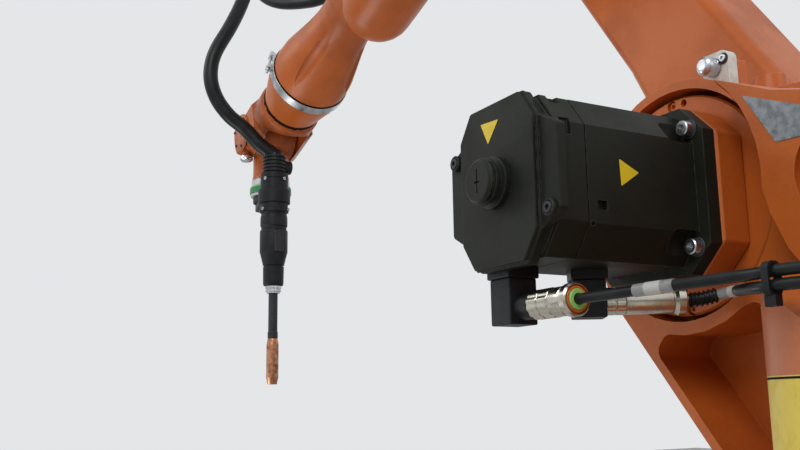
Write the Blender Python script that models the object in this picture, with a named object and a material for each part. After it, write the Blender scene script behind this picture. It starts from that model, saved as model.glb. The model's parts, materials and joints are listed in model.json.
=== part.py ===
"""Six-axis welding robot arm, bolted to the floor, in the pose it works in.

Metres, +Z up, +X forward, +Y to the robot's left. The origin is on the first axis, at the foot's
underside. Every moving body is modelled in the frame of its own joint and hangs from that joint's
empty: local X runs along the member, local Y is the axis of the shoulder, elbow and wrist tilt.
"""
import math

import bmesh
import bpy
from mathutils import Matrix, Vector

for old in list(bpy.data.objects):
    bpy.data.objects.remove(old, do_unlink=True)

# Reach and rest pose
AXIS_1_TO_2 = 0.260         # shoulder axis ahead of the turning axis
FLOOR_TO_AXIS_2 = 0.675
LINK_LENGTH = 0.680         # shoulder axis to elbow axis
FOREARM_LENGTH = 0.682      # elbow axis to wrist centre, along the forearm
FOREARM_DROP = 0.035        # forearm's rolling axis below the elbow axis
REST_SHOULDER = -56.46      # degrees about +Y from level, negative is up
REST_ELBOW = 74.03
REST_TILT = 72.43

# Clearances
GAP = 0.0003                # between faces that touch on the real arm
HUB_GAP = 0.0005            # between the turning faces of a joint
SWING_GAP = 0.006           # between what swings past something
CABLE_SEAT = 0.0006         # between a cable's end and what it goes into

# Foot
FOOT_WIDTH = 0.440
FOOT_THICK = 0.030
FOOT_CORNER = 0.045
FOOT_BOLT_R = 0.011
FOOT_BOLT_INSET = 0.040
FOOT_LEDGE = 0.040          # bolt plate beyond the foot's body, on each side
FOOT_BODY_WIDTH = FOOT_WIDTH - 2 * FOOT_LEDGE
FOOT_HEIGHT = 0.236
FOOT_TOP_R = FOOT_BODY_WIDTH / 2 - 0.008
PANEL_WIDTH = 0.200
PANEL_HEIGHT = 0.120
PANEL_DEPTH = 0.060
PANEL_LOW = 0.055
PANEL_SEAT = FOOT_BODY_WIDTH / 2 + 0.004     # flat pad that the connector box is screwed to
SOCKET_R = 0.024
SOCKET_LENGTH = 0.028
SOCKET_SPREAD = 0.045       # each socket beside the middle

# Turning column
TURRET_R = FOOT_TOP_R + 0.008
TURRET_HEIGHT = 0.070
TOWER_R = 0.143
TOWER_TOP = 0.640
SHOULDER_LOW = 0.535        # tower's rounded front left shoulder, its foot and its top
SHOULDER_HIGH = 0.602
CHEEK_LEFT = 0.006          # Y of the cheek's left face, beside the shoulder gear
CHEEK_RIGHT = -0.138
RING_R = 0.111
RING_BORE_R = 0.1025
RING_DEPTH = 0.035
FRONT_LEAN = 50.9           # degrees of the cheek's straight front edge
FRONT_R = 0.1165            # its distance from the shoulder axis
FLANK_FACE = 0.036          # Y of the raised flank that sweeps back from the ring
FLANK_SLOPE = 0.010         # width of the slope from the flank down to the cheek
PORT_R = 0.036              # round recess in the flank
PORT_BORE_R = 0.027
PORT_BACK = 0.1795          # recess behind the shoulder axis
POCKET_DEPTH = 0.064
POCKET_WALL = 0.0085
BOSS_R = 0.014
BOSS_BACK = 0.0865          # lifting boss behind the shoulder axis
BOSS_TOP = 0.093            # above it
A1_MOTOR_HALF = 0.052
A1_MOTOR_LENGTH = 0.130
A1_MOTOR_BACK = 0.045       # motor behind the turning axis
SERVO_FLANGE = 0.010        # wider than the motor, all round
SERVO_FLANGE_THICK = 0.012

# Shoulder gear and its motor
DISC_R = 0.0975
DISC_FACE = 0.000
DISC_SCREW_R = 0.0915       # from the shoulder axis
ADAPTER_HALF = 0.071
ADAPTER_CHAMFER = 0.026
MOTOR_FOOT = 0.031          # Y of the motor's flange plane
MOTOR_FLANGE_THICK = 0.013
MOTOR_HALF = 0.0585
MOTOR_CHAMFER = 0.016
FLANGE_HALF = 0.067
FLANGE_CHAMFER = 0.021
MOTOR_BODY_END = 0.156
CAP_FACE = 0.194
CAP_EDGE_HALF = 0.032
CAP_HALF_HEIGHT = 0.067
CAP_SHOULDER = (0.047, 0.045)
CAP_LOBE = (0.071, 0.032)
LOBE_STEP = 0.006           # lobes below the cap's middle
PLUG_R = 0.0165
PLUG_STAND = 0.022
CONNECTOR_R = 0.0115
SLEEVE_START = 0.030        # from the connector's knee
SLEEVE_LENGTH = 0.048
POWER_EXIT = (0.021, 0.170, -0.0675)
SIGNAL_EXIT = (0.010, 0.103, -0.0585)
POWER_KNEE = -0.0947        # height of each cable connector below the shoulder axis
SIGNAL_KNEE = -0.0880
KNEE_R = 0.0135
POWER_TURN = 90             # degrees from straight right towards the rear
SIGNAL_TURN = 33
TIE_PLACE = (-0.208, 0.150, -0.0925)
GLAND_PLACE = (-0.320, 0.150, -0.0945)
CABLE_R = 0.0038
SIGNAL_BEND = [(-0.0476, 0.0189, -0.0850), (-0.0582, 0.0151, -0.0835), (-0.0694, 0.0162, -0.0830),
               (-0.0788, 0.0216, -0.0830), (-0.1110, 0.0590, -0.0880), (-0.1350, 0.0920, -0.0930),
               (-0.1560, 0.1190, -0.0970), (-0.1780, 0.1390, -0.0995)]

MASTERING_PLACE = (0.006, -0.062, 0.1395)
MASTERING_THICK = 0.012

# Link arm
LINK_LEFT = CHEEK_RIGHT - HUB_GAP
LINK_THICK = 0.096
LINK_FOOT_R = 0.100
LINK_HEAD_R = 0.088
LINK_LOW_EDGE = 0.052       # below the line of centres, halfway up
LINK_HIGH_EDGE = 0.078      # above it
LINK_CORNER = 0.014

# Arm housing and forearm
HOUSING_LEFT = 0.118
HOUSING_RIGHT = LINK_LEFT + HUB_GAP
HOUSING_REAR = -0.150
HOUSING_TOP = 0.072
HOUSING_HALF = 0.112        # half its width at the elbow
HOUSING_LOW = 0.128         # its underside below the elbow axis
HOUSING_LENGTH = 0.289      # from the elbow axis to the forearm tube
WAIST_AT = 0.150
WAIST_HALF = 0.082
COLLAR_AT = 0.225
COLLAR_HALF = 0.058
MOUTH_HALF = 0.052
ELBOW_MOTOR_HALF = 0.052
ELBOW_MOTOR_LENGTH = 0.125
HOLDER_PLACE = (0.125, -0.072, 0.115)   # mouth of the hose holder, in the elbow's frame
ARM_MOTOR_R = 0.034
ARM_MOTOR_LENGTH = 0.094
BELLY_R = 0.055
BELLY_FRONT = 0.230
BELLY_DROP = 0.085
TUBE_START = HOUSING_LENGTH
TUBE_NECK_R = 0.045
TUBE_FLARE_R = 0.0672
BAND_START = FOREARM_LENGTH - 0.199
BAND_WIDTH = 0.016
BAND_R = 0.0695
NOSE_END = FOREARM_LENGTH - 0.110
NOSE_END_R = 0.0515
TUBE_FORM = ((0, 0.182), (0.062, 0.046), (0.145, 0), (0.304, 0.046), (0.459, 0.270), (0.639, 0.595),
             (0.819, 0.910), (0.938, 1), (1, 1))     # share of its length, of the way from neck to flare
FLUTE_COUNT = 4

# Wrist
HAND_GROOVE = 0.004         # dark groove between the forearm's nose and the hand
SPIGOT_R = 0.043
HAND_R = 0.0565
FORK_R = 0.044
FORK_OUTER = 0.058
FORK_CHAMFER = 0.020       # slant along the fork's four outer edges
TILT_R = 0.043
TILT_HALF = 0.0375
FORK_INNER = TILT_HALF + HUB_GAP
THROAT_HALF = 0.006         # hand's solid nose between the fork arms, half its height
THROAT_ROOT = 0.091         # where the throat's slopes meet the hand's outside
CAP_SIDE = 0.0485           # the chrome cap's place on the left fork arm
CAP_R = 0.009
NECK_TURN_R = 0.0330        # tilting head's neck
FLANGE_FACE = 0.088         # wrist centre to the turning tool flange

# Welding torch
FLANGE_R = 0.0355
RING_STACK = 0.043
BRACKET_THICK = 0.012
TORCH_OFFSET_Z = -0.0844    # torch axis beside the last axis, in the tilt body's frame
TORCH_OFFSET_Y = 0.025
TORCH_RISE = 0.0036         # of the whole torch above the places below
TORCH_R = 0.0245
TORCH_TOP = 0.0655          # top of the ribbed tail, below the wrist centre
TAIL_LENGTH = 0.0325
KNUCKLE_R = 0.015           # the tail's ball, from which the hose leaves at a slant
STUB_LENGTH = 0.0165
STUB_WAY = (-0.61, 0.76, 0.21)
NECK_R = 0.0085
TORCH_SEAM = 0.170          # from the wrist centre down: end of the upper body
TORCH_COLLAR = 0.202        # end of the collar
TORCH_TAPER = 0.245         # where the lower body starts to taper
TORCH_STEM = 0.264
TORCH_END = 0.300
NOZZLE_START = 0.392
TORCH_TIP = 0.470
HOSE_R = 0.013


def material(name, colour, roughness, metallic=0.0):
    mat = bpy.data.materials.new(name)
    mat.use_nodes = True
    shader = mat.node_tree.nodes["Principled BSDF"]
    shader.inputs["Base Color"].default_value = (*colour, 1.0)
    shader.inputs["Roughness"].default_value = roughness
    shader.inputs["Metallic"].default_value = metallic
    return mat


PAINT = material("orange paint", (0.62, 0.16, 0.03), 0.38)
MOTOR_PAINT = material("motor black", (0.012, 0.013, 0.011), 0.55)
STEEL = material("zinc steel", (0.62, 0.63, 0.65), 0.28, 1.0)
CHROME = material("bright chrome", (0.80, 0.81, 0.83), 0.12, 1.0)
BLACK_PLASTIC = material("black plastic", (0.015, 0.015, 0.015), 0.45)
RUBBER = material("cable rubber", (0.012, 0.012, 0.013), 0.6)
DARK_METAL = material("dark metal", (0.03, 0.03, 0.032), 0.35, 0.6)
GREEN_RING = material("green plastic", (0.03, 0.22, 0.10), 0.4)
WHITE_METAL = material("white bracket", (0.75, 0.75, 0.73), 0.4)
COPPER = material("nozzle copper", (0.55, 0.30, 0.20), 0.35, 1.0)


def joint_frame(name, parent=None, location=(0, 0, 0), turn_y=0.0):
    empty = bpy.data.objects.new(name, None)
    bpy.context.collection.objects.link(empty)
    empty.location = location
    empty.rotation_euler = (0, math.radians(turn_y), 0)
    empty.parent = parent
    return empty


AXIS_1 = joint_frame("axis_1")
AXIS_2 = joint_frame("axis_2", AXIS_1, (AXIS_1_TO_2, 0, FLOOR_TO_AXIS_2), REST_SHOULDER)
SHOULDER_FRAME = joint_frame("shoulder_frame", AXIS_1, (AXIS_1_TO_2, 0, FLOOR_TO_AXIS_2))
AXIS_3 = joint_frame("axis_3", AXIS_2, (LINK_LENGTH, 0, 0), REST_ELBOW)
AXIS_4 = joint_frame("axis_4", AXIS_3, (FOREARM_LENGTH, 0, -FOREARM_DROP))
AXIS_5 = joint_frame("axis_5", AXIS_4, (0, 0, 0), REST_TILT)
AXIS_6 = joint_frame("axis_6", AXIS_5)
TORCH_FRAME = joint_frame("torch_frame", AXIS_6, (-TORCH_RISE, TORCH_OFFSET_Y, TORCH_OFFSET_Z))

SEAM = 1e-6
AROUND = {"X": Vector((1, 0, 0)), "Y": Vector((0, 1, 0)), "Z": Vector((0, 0, 1))}


def finished(bm):
    bmesh.ops.remove_doubles(bm, verts=bm.verts, dist=SEAM)
    bmesh.ops.recalc_face_normals(bm, faces=bm.faces)
    return bm


def turned(profile, axis="X", steps=32, centre=(0, 0, 0)):
    """Closed (along, radius) profile revolved about an axis through centre."""
    bm = bmesh.new()
    spots = {"X": lambda a, r: (a, 0, r), "Y": lambda a, r: (0, a, r), "Z": lambda a, r: (r, 0, a)}
    verts = [bm.verts.new(spots[axis](a, r)) for a, r in profile]
    edges = [bm.edges.new((v, verts[(i + 1) % len(verts)])) for i, v in enumerate(verts)]
    bmesh.ops.spin(bm, geom=verts + edges, cent=(0, 0, 0), axis=AROUND[axis], dvec=(0, 0, 0),
                   angle=2 * math.pi, steps=steps, use_merge=True)
    flat = [f for f in bm.faces if f.calc_area() < SEAM * SEAM]
    bmesh.ops.delete(bm, geom=flat, context="FACES")
    loose = [e for e in bm.edges if not e.link_faces]
    bmesh.ops.delete(bm, geom=loose, context="EDGES")
    bmesh.ops.translate(bm, verts=bm.verts, vec=centre)
    return finished(bm)


def rod(low, high, radius, axis="X", steps=24, centre=(0, 0, 0), chamfer=0.0):
    """Round bar from low to high along an axis, its end edges chamfered."""
    profile = [(low, 0), (low, radius - chamfer)]
    if chamfer:
        profile.append((low + chamfer, radius))
        profile.append((high - chamfer, radius))
    profile += [(high, radius - chamfer), (high, 0)]
    return turned(profile, axis, steps, centre)


def extruded(outline, low, high, axis="Y"):
    """Closed 2-D outline pushed from low to high along an axis."""
    bm = bmesh.new()
    spots = {"X": lambda a, b: (low, a, b), "Y": lambda a, b: (a, low, b), "Z": lambda a, b: (a, b, low)}
    face = bm.faces.new([bm.verts.new(spots[axis](a, b)) for a, b in outline])
    grown = bmesh.ops.extrude_face_region(bm, geom=[face])
    tips = [g for g in grown["geom"] if isinstance(g, bmesh.types.BMVert)]
    bmesh.ops.translate(bm, verts=tips, vec=AROUND[axis] * (high - low))
    return finished(bm)


def lofted(rings):
    """Skin through rings of equal point counts, capped at both ends."""
    bm = bmesh.new()
    rows = [[bm.verts.new(p) for p in ring] for ring in rings]
    for below, above in zip(rows, rows[1:]):
        for i in range(len(below)):
            j = (i + 1) % len(below)
            bm.faces.new((below[i], below[j], above[j], above[i]))
    bm.faces.new(rows[0])
    bm.faces.new(rows[-1])
    return finished(bm)


def arc(centre, radius, start, end, steps):
    """Points on a circle from start to end, in degrees."""
    points = []
    for i in range(steps + 1):
        angle = math.radians(start + (end - start) * i / steps)
        points.append((centre[0] + radius * math.cos(angle), centre[1] + radius * math.sin(angle)))
    return points


def rounded(corners, radius, steps=4):
    """Outline through corners, each rounded by an arc tangent to its two sides."""
    points = []
    for i, corner in enumerate(corners):
        here = Vector(corner)
        back = (Vector(corners[i - 1]) - here)
        ahead = (Vector(corners[(i + 1) % len(corners)]) - here)
        turn = back.angle(ahead)
        reach = min(radius / math.tan(turn / 2), 0.49 * back.length, 0.49 * ahead.length)
        start = here + back.normalized() * reach
        end = here + ahead.normalized() * reach
        middle = here + (back.normalized() + ahead.normalized()).normalized() * reach / math.cos(turn / 2)
        for k in range(steps + 1):
            share = k / steps
            spot = (start - middle).lerp(end - middle, share)
            spot = spot.normalized() * (start - middle).length if spot.length else spot
            points.append(tuple(middle + spot))
    return points


def round_box_ring(x, half_y, low, high, corner, steps=5):
    """Rounded rectangle in the plane x, from -half_y to half_y and low to high."""
    corners = [(-half_y, low), (half_y, low), (half_y, high), (-half_y, high)]
    return [(x, a, b) for a, b in rounded(corners, corner, steps)]


def octagon(half, chamfer, half_height=None):
    """Square with its corners cut off, counter-clockwise."""
    tall = half_height or half
    return [(half - chamfer, -tall), (half, -tall + chamfer), (half, tall - chamfer),
            (half - chamfer, tall), (-half + chamfer, tall), (-half, tall - chamfer),
            (-half, -tall + chamfer), (-half + chamfer, -tall)]


def box(low, high):
    outline = [(low[0], low[2]), (high[0], low[2]), (high[0], high[2]), (low[0], high[2])]
    return extruded(outline, low[1], high[1])


def moved(bm, matrix):
    bmesh.ops.transform(bm, matrix=matrix, verts=bm.verts)
    return bm


def piece(name, bm, mat, parent=None, sharp=35):
    mesh = bpy.data.meshes.new(name)
    bm.to_mesh(mesh)
    bm.free()
    mesh.materials.append(mat)
    mesh.shade_smooth()
    mesh.set_sharp_from_angle(angle=math.radians(sharp))
    obj = bpy.data.objects.new(name, mesh)
    bpy.context.collection.objects.link(obj)
    obj.parent = parent
    return obj


def shaped(target, bm, operation):
    """Boolean of a helper solid, given in the target's own frame, on the target."""
    mesh = bpy.data.meshes.new(target.name + "_helper")
    bm.to_mesh(mesh)
    bm.free()
    helper = bpy.data.objects.new(mesh.name, mesh)
    bpy.context.collection.objects.link(helper)
    helper.parent = target.parent
    helper.hide_render = True
    helper.display_type = "WIRE"
    mod = target.modifiers.new(operation.lower(), "BOOLEAN")
    mod.operation = operation
    mod.solver = "EXACT"
    mod.object = helper


def cut(target, bm):
    shaped(target, bm, "DIFFERENCE")


def add(target, bm):
    shaped(target, bm, "UNION")


def cable(name, points, radius, mat, parent=None, resolution=2, smooth=60):
    """Tube along a smooth curve through the route's own points."""
    route = [Vector(p) for p in points]
    samples = []
    for i in range(len(route) - 1):
        before = route[max(i - 1, 0)]
        after = route[min(i + 2, len(route) - 1)]
        for k in range(8):
            samples.append(spline_point(before, route[i], route[i + 1], after, k / 8))
    samples.append(route[-1])
    spaced = evenly(samples, smooth)
    curve = bpy.data.curves.new(name, "CURVE")
    curve.dimensions = "3D"
    curve.bevel_depth = radius
    curve.bevel_resolution = resolution
    curve.use_fill_caps = True
    curve.materials.append(mat)
    line = curve.splines.new("POLY")
    line.points.add(len(spaced) - 1)
    for spot, place in zip(line.points, spaced):
        spot.co = (*place, 1.0)
    obj = bpy.data.objects.new(name, curve)
    bpy.context.collection.objects.link(obj)
    obj.parent = parent
    return obj


def spline_point(before, start, end, after, share):
    """Catmull-Rom point between start and end."""
    square = share * share
    cube = square * share
    return 0.5 * (2 * start + (end - before) * share
                  + (2 * before - 5 * start + 4 * end - after) * square
                  + (3 * start - before - 3 * end + after) * cube)


def evenly(samples, count):
    """The same line with count points at equal steps."""
    lengths = [0.0]
    for a, b in zip(samples, samples[1:]):
        lengths.append(lengths[-1] + (b - a).length)
    points = []
    k = 0
    for i in range(count):
        want = lengths[-1] * i / (count - 1)
        while k < len(samples) - 2 and lengths[k + 1] < want:
            k += 1
        span = lengths[k + 1] - lengths[k]
        points.append(samples[k].lerp(samples[k + 1], (want - lengths[k]) / span))
    return points


# Foot: bolt plate, and a body that goes from square to round
def squircle(z, half, corner, steps=6):
    corners = [(-half, -half), (half, -half), (half, half), (-half, half)]
    return [(a, b, z) for a, b in rounded(corners, corner, steps)]


def base_frame():
    top_corner = FOOT_TOP_R * 0.999
    rings = [squircle(0.0, FOOT_WIDTH / 2, FOOT_CORNER),
             squircle(FOOT_THICK, FOOT_WIDTH / 2, FOOT_CORNER),
             squircle(FOOT_THICK + 0.012, FOOT_BODY_WIDTH / 2, FOOT_CORNER),
             squircle(FOOT_HEIGHT * 0.55, FOOT_BODY_WIDTH / 2 - 0.006, FOOT_CORNER * 2),
             squircle(FOOT_HEIGHT * 0.85, FOOT_TOP_R, top_corner),
             squircle(FOOT_HEIGHT, FOOT_TOP_R, top_corner)]
    foot = piece("base_frame", lofted(rings), PAINT)
    add(foot, box((-PANEL_SEAT, -PANEL_WIDTH / 2, PANEL_LOW - 0.004),
                  (-PANEL_SEAT + 0.04, PANEL_WIDTH / 2, PANEL_LOW + PANEL_HEIGHT + 0.004)))
    reach = FOOT_WIDTH / 2 - FOOT_BOLT_INSET
    for sx in (-1, 1):
        for sy in (-1, 1):
            centre = (sx * reach, sy * reach, 0)
            hole = rod(-0.01, FOOT_THICK + 0.01, FOOT_BOLT_R, "Z", 20, centre)
            cut(foot, hole)
    return foot


def connector_panel():
    front = -PANEL_SEAT - GAP
    rear = front - PANEL_DEPTH
    low = PANEL_LOW
    high = PANEL_LOW + PANEL_HEIGHT
    outline = [(front, low), (front, high), (rear + 0.02, high), (rear, high - 0.03), (rear, low)]
    panel = piece("base_connector_box", extruded(outline, -PANEL_WIDTH / 2, PANEL_WIDTH / 2), PAINT)
    bevel(panel, 0.003)
    for name, y in (("base_power_socket", -SOCKET_SPREAD), ("base_signal_socket", SOCKET_SPREAD)):
        centre = (0, y, low + SOCKET_SPREAD)
        profile = [(rear - GAP, 0), (rear - GAP, SOCKET_R), (rear - 0.006, SOCKET_R),
                   (rear - 0.006, SOCKET_R - 0.003), (rear - SOCKET_LENGTH, SOCKET_R - 0.003),
                   (rear - SOCKET_LENGTH, 0)]
        piece(name, turned(profile, "X", 28, centre), DARK_METAL)


def bevel(obj, width, segments=2, angle=35):
    mod = obj.modifiers.new("soft edges", "BEVEL")
    mod.width = width
    mod.segments = segments
    mod.limit_method = "ANGLE"
    mod.angle_limit = math.radians(angle)
    return mod


# Turning column: turret, tower and cheek that carries the shoulder
def rotating_column():
    low = FOOT_HEIGHT + HUB_GAP
    turret_top = low + TURRET_HEIGHT
    profile = [(low, 0), (low, TURRET_R), (turret_top - 0.012, TURRET_R), (turret_top, TURRET_R - 0.012)]
    profile += [(turret_top + 0.012, TOWER_R + 0.010), (turret_top + 0.035, TOWER_R)]
    profile += [(TOWER_TOP - 0.02, TOWER_R), (TOWER_TOP, TOWER_R - 0.02), (TOWER_TOP, 0)]
    column = piece("rotating_column", turned(profile, "Z", 56), PAINT, AXIS_1)

    x2, z2 = AXIS_1_TO_2, FLOOR_TO_AXIS_2
    centre = (x2, z2)
    foot = turret_top + 0.02
    front = front_edge(FRONT_R)
    reach = (front[1] - foot) / math.tan(math.radians(FRONT_LEAN))
    outline = [(front[0] - reach, foot), front]
    outline += arc(centre, RING_R, -18, 126, 20)
    outline += [(x2 - 0.080, z2 + 0.077), (x2 - 0.140, z2 + 0.070), (x2 - 0.200, z2 + 0.049), (0.024, z2 + 0.027),
                (0.024, TOWER_TOP - 0.012), (0.024, foot)]
    start = CHEEK_LEFT - 0.01
    rounding = [(start, SHOULDER_HIGH), (0.050, SHOULDER_HIGH - 0.002), (0.075, SHOULDER_HIGH - 0.007),
                (0.105, SHOULDER_HIGH - 0.019), (0.128, SHOULDER_HIGH - 0.037), (TOWER_R + 0.007, SHOULDER_LOW)]
    rounding += [(TOWER_R + 0.05, SHOULDER_LOW), (TOWER_R + 0.05, TOWER_TOP + 0.1), (start, TOWER_TOP + 0.1)]
    cut(column, extruded(rounding, 0.018, TOWER_R + 0.05, "X"))
    add(column, extruded(outline, CHEEK_RIGHT, CHEEK_LEFT))
    add(column, flank())
    spot = (x2 - BOSS_BACK, -0.020, z2 + BOSS_TOP)
    add(column, turned([(-0.03, 0), (-0.03, BOSS_R + 0.002), (0, BOSS_R), (0, 0)], "Z", 24, spot))
    cut(column, rod(DISC_FACE - RING_DEPTH, CHEEK_LEFT + 0.2, RING_BORE_R, "Y", 56, (x2, 0, z2)))
    port = (x2 - PORT_BACK, 0, z2 - 0.009)
    cut(column, turned([(CHEEK_LEFT - 0.03, 0), (CHEEK_LEFT - 0.03, PORT_BORE_R), (FLANK_FACE - 0.012, PORT_BORE_R),
                        (FLANK_FACE - 0.010, PORT_R), (FLANK_FACE + 0.02, PORT_R), (FLANK_FACE + 0.02, 0)],
                       "Y", 32, port))

    inner = front_edge(FRONT_R - POCKET_WALL)
    lean = math.tan(math.radians(FRONT_LEAN))
    left = [(inner[0] - (inner[1] - z) / lean, z) for z in (z2 - 0.270, z2 - 0.126)]
    pocket = left + arc(centre, RING_R + 0.003, -78, -124, 4)
    pocket += [(x2 - 0.078, z2 - 0.091), (TOWER_R + 0.022, z2 - 0.118), (TOWER_R + 0.010, z2 - 0.275)]
    pocket = rounded(pocket, 0.010, 3)
    cut(column, extruded(pocket, CHEEK_LEFT - POCKET_DEPTH, CHEEK_LEFT + 0.03))
    x, y, z = MASTERING_PLACE
    block = rounded([(x - 0.012, RING_R - 0.02), (x + 0.020, RING_R - 0.02), (x + 0.020, z + 0.010),
                     (x - 0.012, z + 0.010)], 0.004, 2)
    low = y - MASTERING_THICK - GAP
    add(column, extruded([(x2 + a, z2 + b) for a, b in block], low - 0.018, low))
    return column


def front_edge(radius):
    """Point where the cheek's straight front edge leaves a circle about the shoulder axis."""
    angle = math.radians(FRONT_LEAN - 90)
    return (AXIS_1_TO_2 + radius * math.cos(angle), FLOOR_TO_AXIS_2 + radius * math.sin(angle))


def flank():
    """Raised flank on the left: it follows the ring's rear, then swings down and back to the tower."""
    x2, z2 = AXIS_1_TO_2, FLOOR_TO_AXIS_2
    swoop = arc((x2, z2), RING_BORE_R + 0.003, 132, 186, 6)
    swoop += [(x2 - 0.111, z2 - 0.030), (x2 - 0.124, z2 - 0.056), (x2 - 0.142, z2 - 0.078), (x2 - 0.175, z2 - 0.096)]
    rear = [(0.024, z2 - 0.100), (0.024, z2 + 0.022), (x2 - 0.200, z2 + 0.045), (x2 - 0.130, z2 + 0.066)]
    rings = []
    for y, shift, drop in ((CHEEK_LEFT - 0.02, 0.0, 0.0), (CHEEK_LEFT, 0.0, 0.0), (FLANK_FACE - 0.006, 0.7, 0.003),
                           (FLANK_FACE, 1.0, 0.005)):
        ring = []
        for a, b in swoop:
            way = Vector((a - x2, b - z2)).normalized() * FLANK_SLOPE * shift
            ring.append((a + way[0], y, b + way[1]))
        ring += [(a, y, b - drop) for a, b in rear]
        rings.append(ring)
    return lofted(rings)


def a1_motor():
    low = TOWER_TOP + GAP
    high = low + A1_MOTOR_LENGTH
    body = piece("a1_motor", extruded(octagon(A1_MOTOR_HALF, A1_MOTOR_HALF * 0.27), low, high, "Z"), MOTOR_PAINT,
                 AXIS_1)
    body.location = (-A1_MOTOR_BACK, 0, 0)
    wide = A1_MOTOR_HALF + SERVO_FLANGE
    plate = extruded(octagon(wide, wide * 0.29), low, low + SERVO_FLANGE_THICK, "Z")
    add(body, moved(plate, Matrix.Translation((-A1_MOTOR_BACK, 0, 0))))


def shoulder_gear():
    back = DISC_FACE - RING_DEPTH + GAP
    profile = [(back, 0), (back, DISC_R), (DISC_FACE - 0.002, DISC_R), (DISC_FACE, DISC_R - 0.002),
               (DISC_FACE, 0)]
    disc = piece("a2_gear_disc", turned(profile, "Y", 56), PAINT, SHOULDER_FRAME)
    for degrees, radius in ((88, 0.0055), (97, 0.0035), (268, 0.0055), (277, 0.0035)):
        angle = math.radians(degrees)
        spot = (DISC_SCREW_R * math.cos(angle), 0, DISC_SCREW_R * math.sin(angle))
        cut(disc, rod(DISC_FACE - 0.007, DISC_FACE + 0.01, radius, "Y", 16, spot))
    outline = octagon(ADAPTER_HALF, ADAPTER_CHAMFER)
    adapter = piece("a2_motor_adapter", extruded(outline, DISC_FACE + GAP, MOTOR_FOOT - GAP), PAINT, SHOULDER_FRAME)
    bevel(adapter, 0.002)


def shoulder_motor():
    flange_top = MOTOR_FOOT + MOTOR_FLANGE_THICK
    body = piece("a2_motor_body", extruded(octagon(MOTOR_HALF, MOTOR_CHAMFER), MOTOR_FOOT, MOTOR_BODY_END),
                 MOTOR_PAINT, SHOULDER_FRAME)
    add(body, extruded(octagon(FLANGE_HALF, FLANGE_CHAMFER), MOTOR_FOOT, flange_top))
    for sx in (-1, 1):
        for sz in (-1, 1):
            spot = (sx * 0.0515, 0, sz * 0.0515)
            add(body, rod(flange_top - 0.002, flange_top + 0.012, 0.0085, "Y", 16, spot))
    edge, tall = CAP_EDGE_HALF, CAP_HALF_HEIGHT
    neck, lobe = CAP_SHOULDER, CAP_LOBE
    quarter = [(edge, tall), neck, lobe]
    outline = [(edge, -tall), (neck[0], -neck[1]), (lobe[0], -lobe[1])]
    outline += [(lobe[0], lobe[1]), (neck[0], neck[1]), (edge, tall)]
    outline += [(-a, b) for a, b in quarter]
    outline += [(-lobe[0], -lobe[1]), (-neck[0], -neck[1]), (-edge, -tall)]
    cap = piece("a2_motor_cap", extruded(outline, MOTOR_BODY_END + GAP, CAP_FACE - LOBE_STEP), MOTOR_PAINT,
                SHOULDER_FRAME)
    low = CAP_FACE - LOBE_STEP - 0.01
    side = [(neck[0] + 0.002, neck[1] - 0.002), (edge + 0.001, tall - 0.002)]
    panel = side + [(-a, b) for a, b in side[::-1]]
    panel += [(-a, -b) for a, b in side] + [(a, -b) for a, b in side[::-1]]
    add(cap, extruded(panel, low, CAP_FACE))
    bevel(cap, 0.002)
    profile = [(CAP_FACE + GAP, 0), (CAP_FACE + GAP, PLUG_R + 0.004), (CAP_FACE + 0.005, PLUG_R + 0.004),
               (CAP_FACE + 0.006, PLUG_R), (CAP_FACE + 0.011, PLUG_R), (CAP_FACE + 0.012, PLUG_R + 0.0015),
               (CAP_FACE + PLUG_STAND - 0.002, PLUG_R + 0.0015), (CAP_FACE + PLUG_STAND, PLUG_R - 0.001),
               (CAP_FACE + PLUG_STAND, 0)]
    piece("a2_cap_plug", turned(profile, "Y", 32), BLACK_PLASTIC, SHOULDER_FRAME)


def sleeve_direction(turn):
    return Vector((-math.sin(math.radians(turn)), -math.cos(math.radians(turn)), 0.0))


def along_frame(origin, direction):
    """Matrix that lays local X along direction, from origin."""
    turn = Vector((1, 0, 0)).rotation_difference(direction)
    return Matrix.Translation(origin) @ turn.to_matrix().to_4x4()


def motor_connector(name, sleeve_name, exit_point, level, turn):
    x, y, z = exit_point
    centre = (x, y, 0)
    drop = level - KNEE_R
    top = z - GAP
    profile = [(drop, 0), (drop, 0.0155), (top - 0.008, 0.0155), (top - 0.008, 0.0185), (top, 0.0185), (top, 0)]
    elbow = piece(name, turned(profile, "Z", 20, centre), BLACK_PLASTIC, SHOULDER_FRAME)
    way = sleeve_direction(turn)
    knee = Vector((x, y, level))
    frame = along_frame(knee, way)
    start = SLEEVE_START
    add(elbow, moved(rod(-0.017, 0.019, KNEE_R - 0.0002, "X", 20), frame))
    add(elbow, moved(rod(0.0, start, CONNECTOR_R - 0.0015, "X", 20), frame))
    end = start + SLEEVE_LENGTH
    step = start + SLEEVE_LENGTH * 0.75
    profile = [(start + GAP, 0), (start + GAP, CONNECTOR_R), (step, CONNECTOR_R), (step + 0.001, CONNECTOR_R + 0.0012),
               (end, CONNECTOR_R + 0.0012), (end, 0)]
    sleeve = piece(sleeve_name, moved(turned(profile, "X", 24), frame), STEEL, SHOULDER_FRAME)
    return knee + way * end


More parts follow.
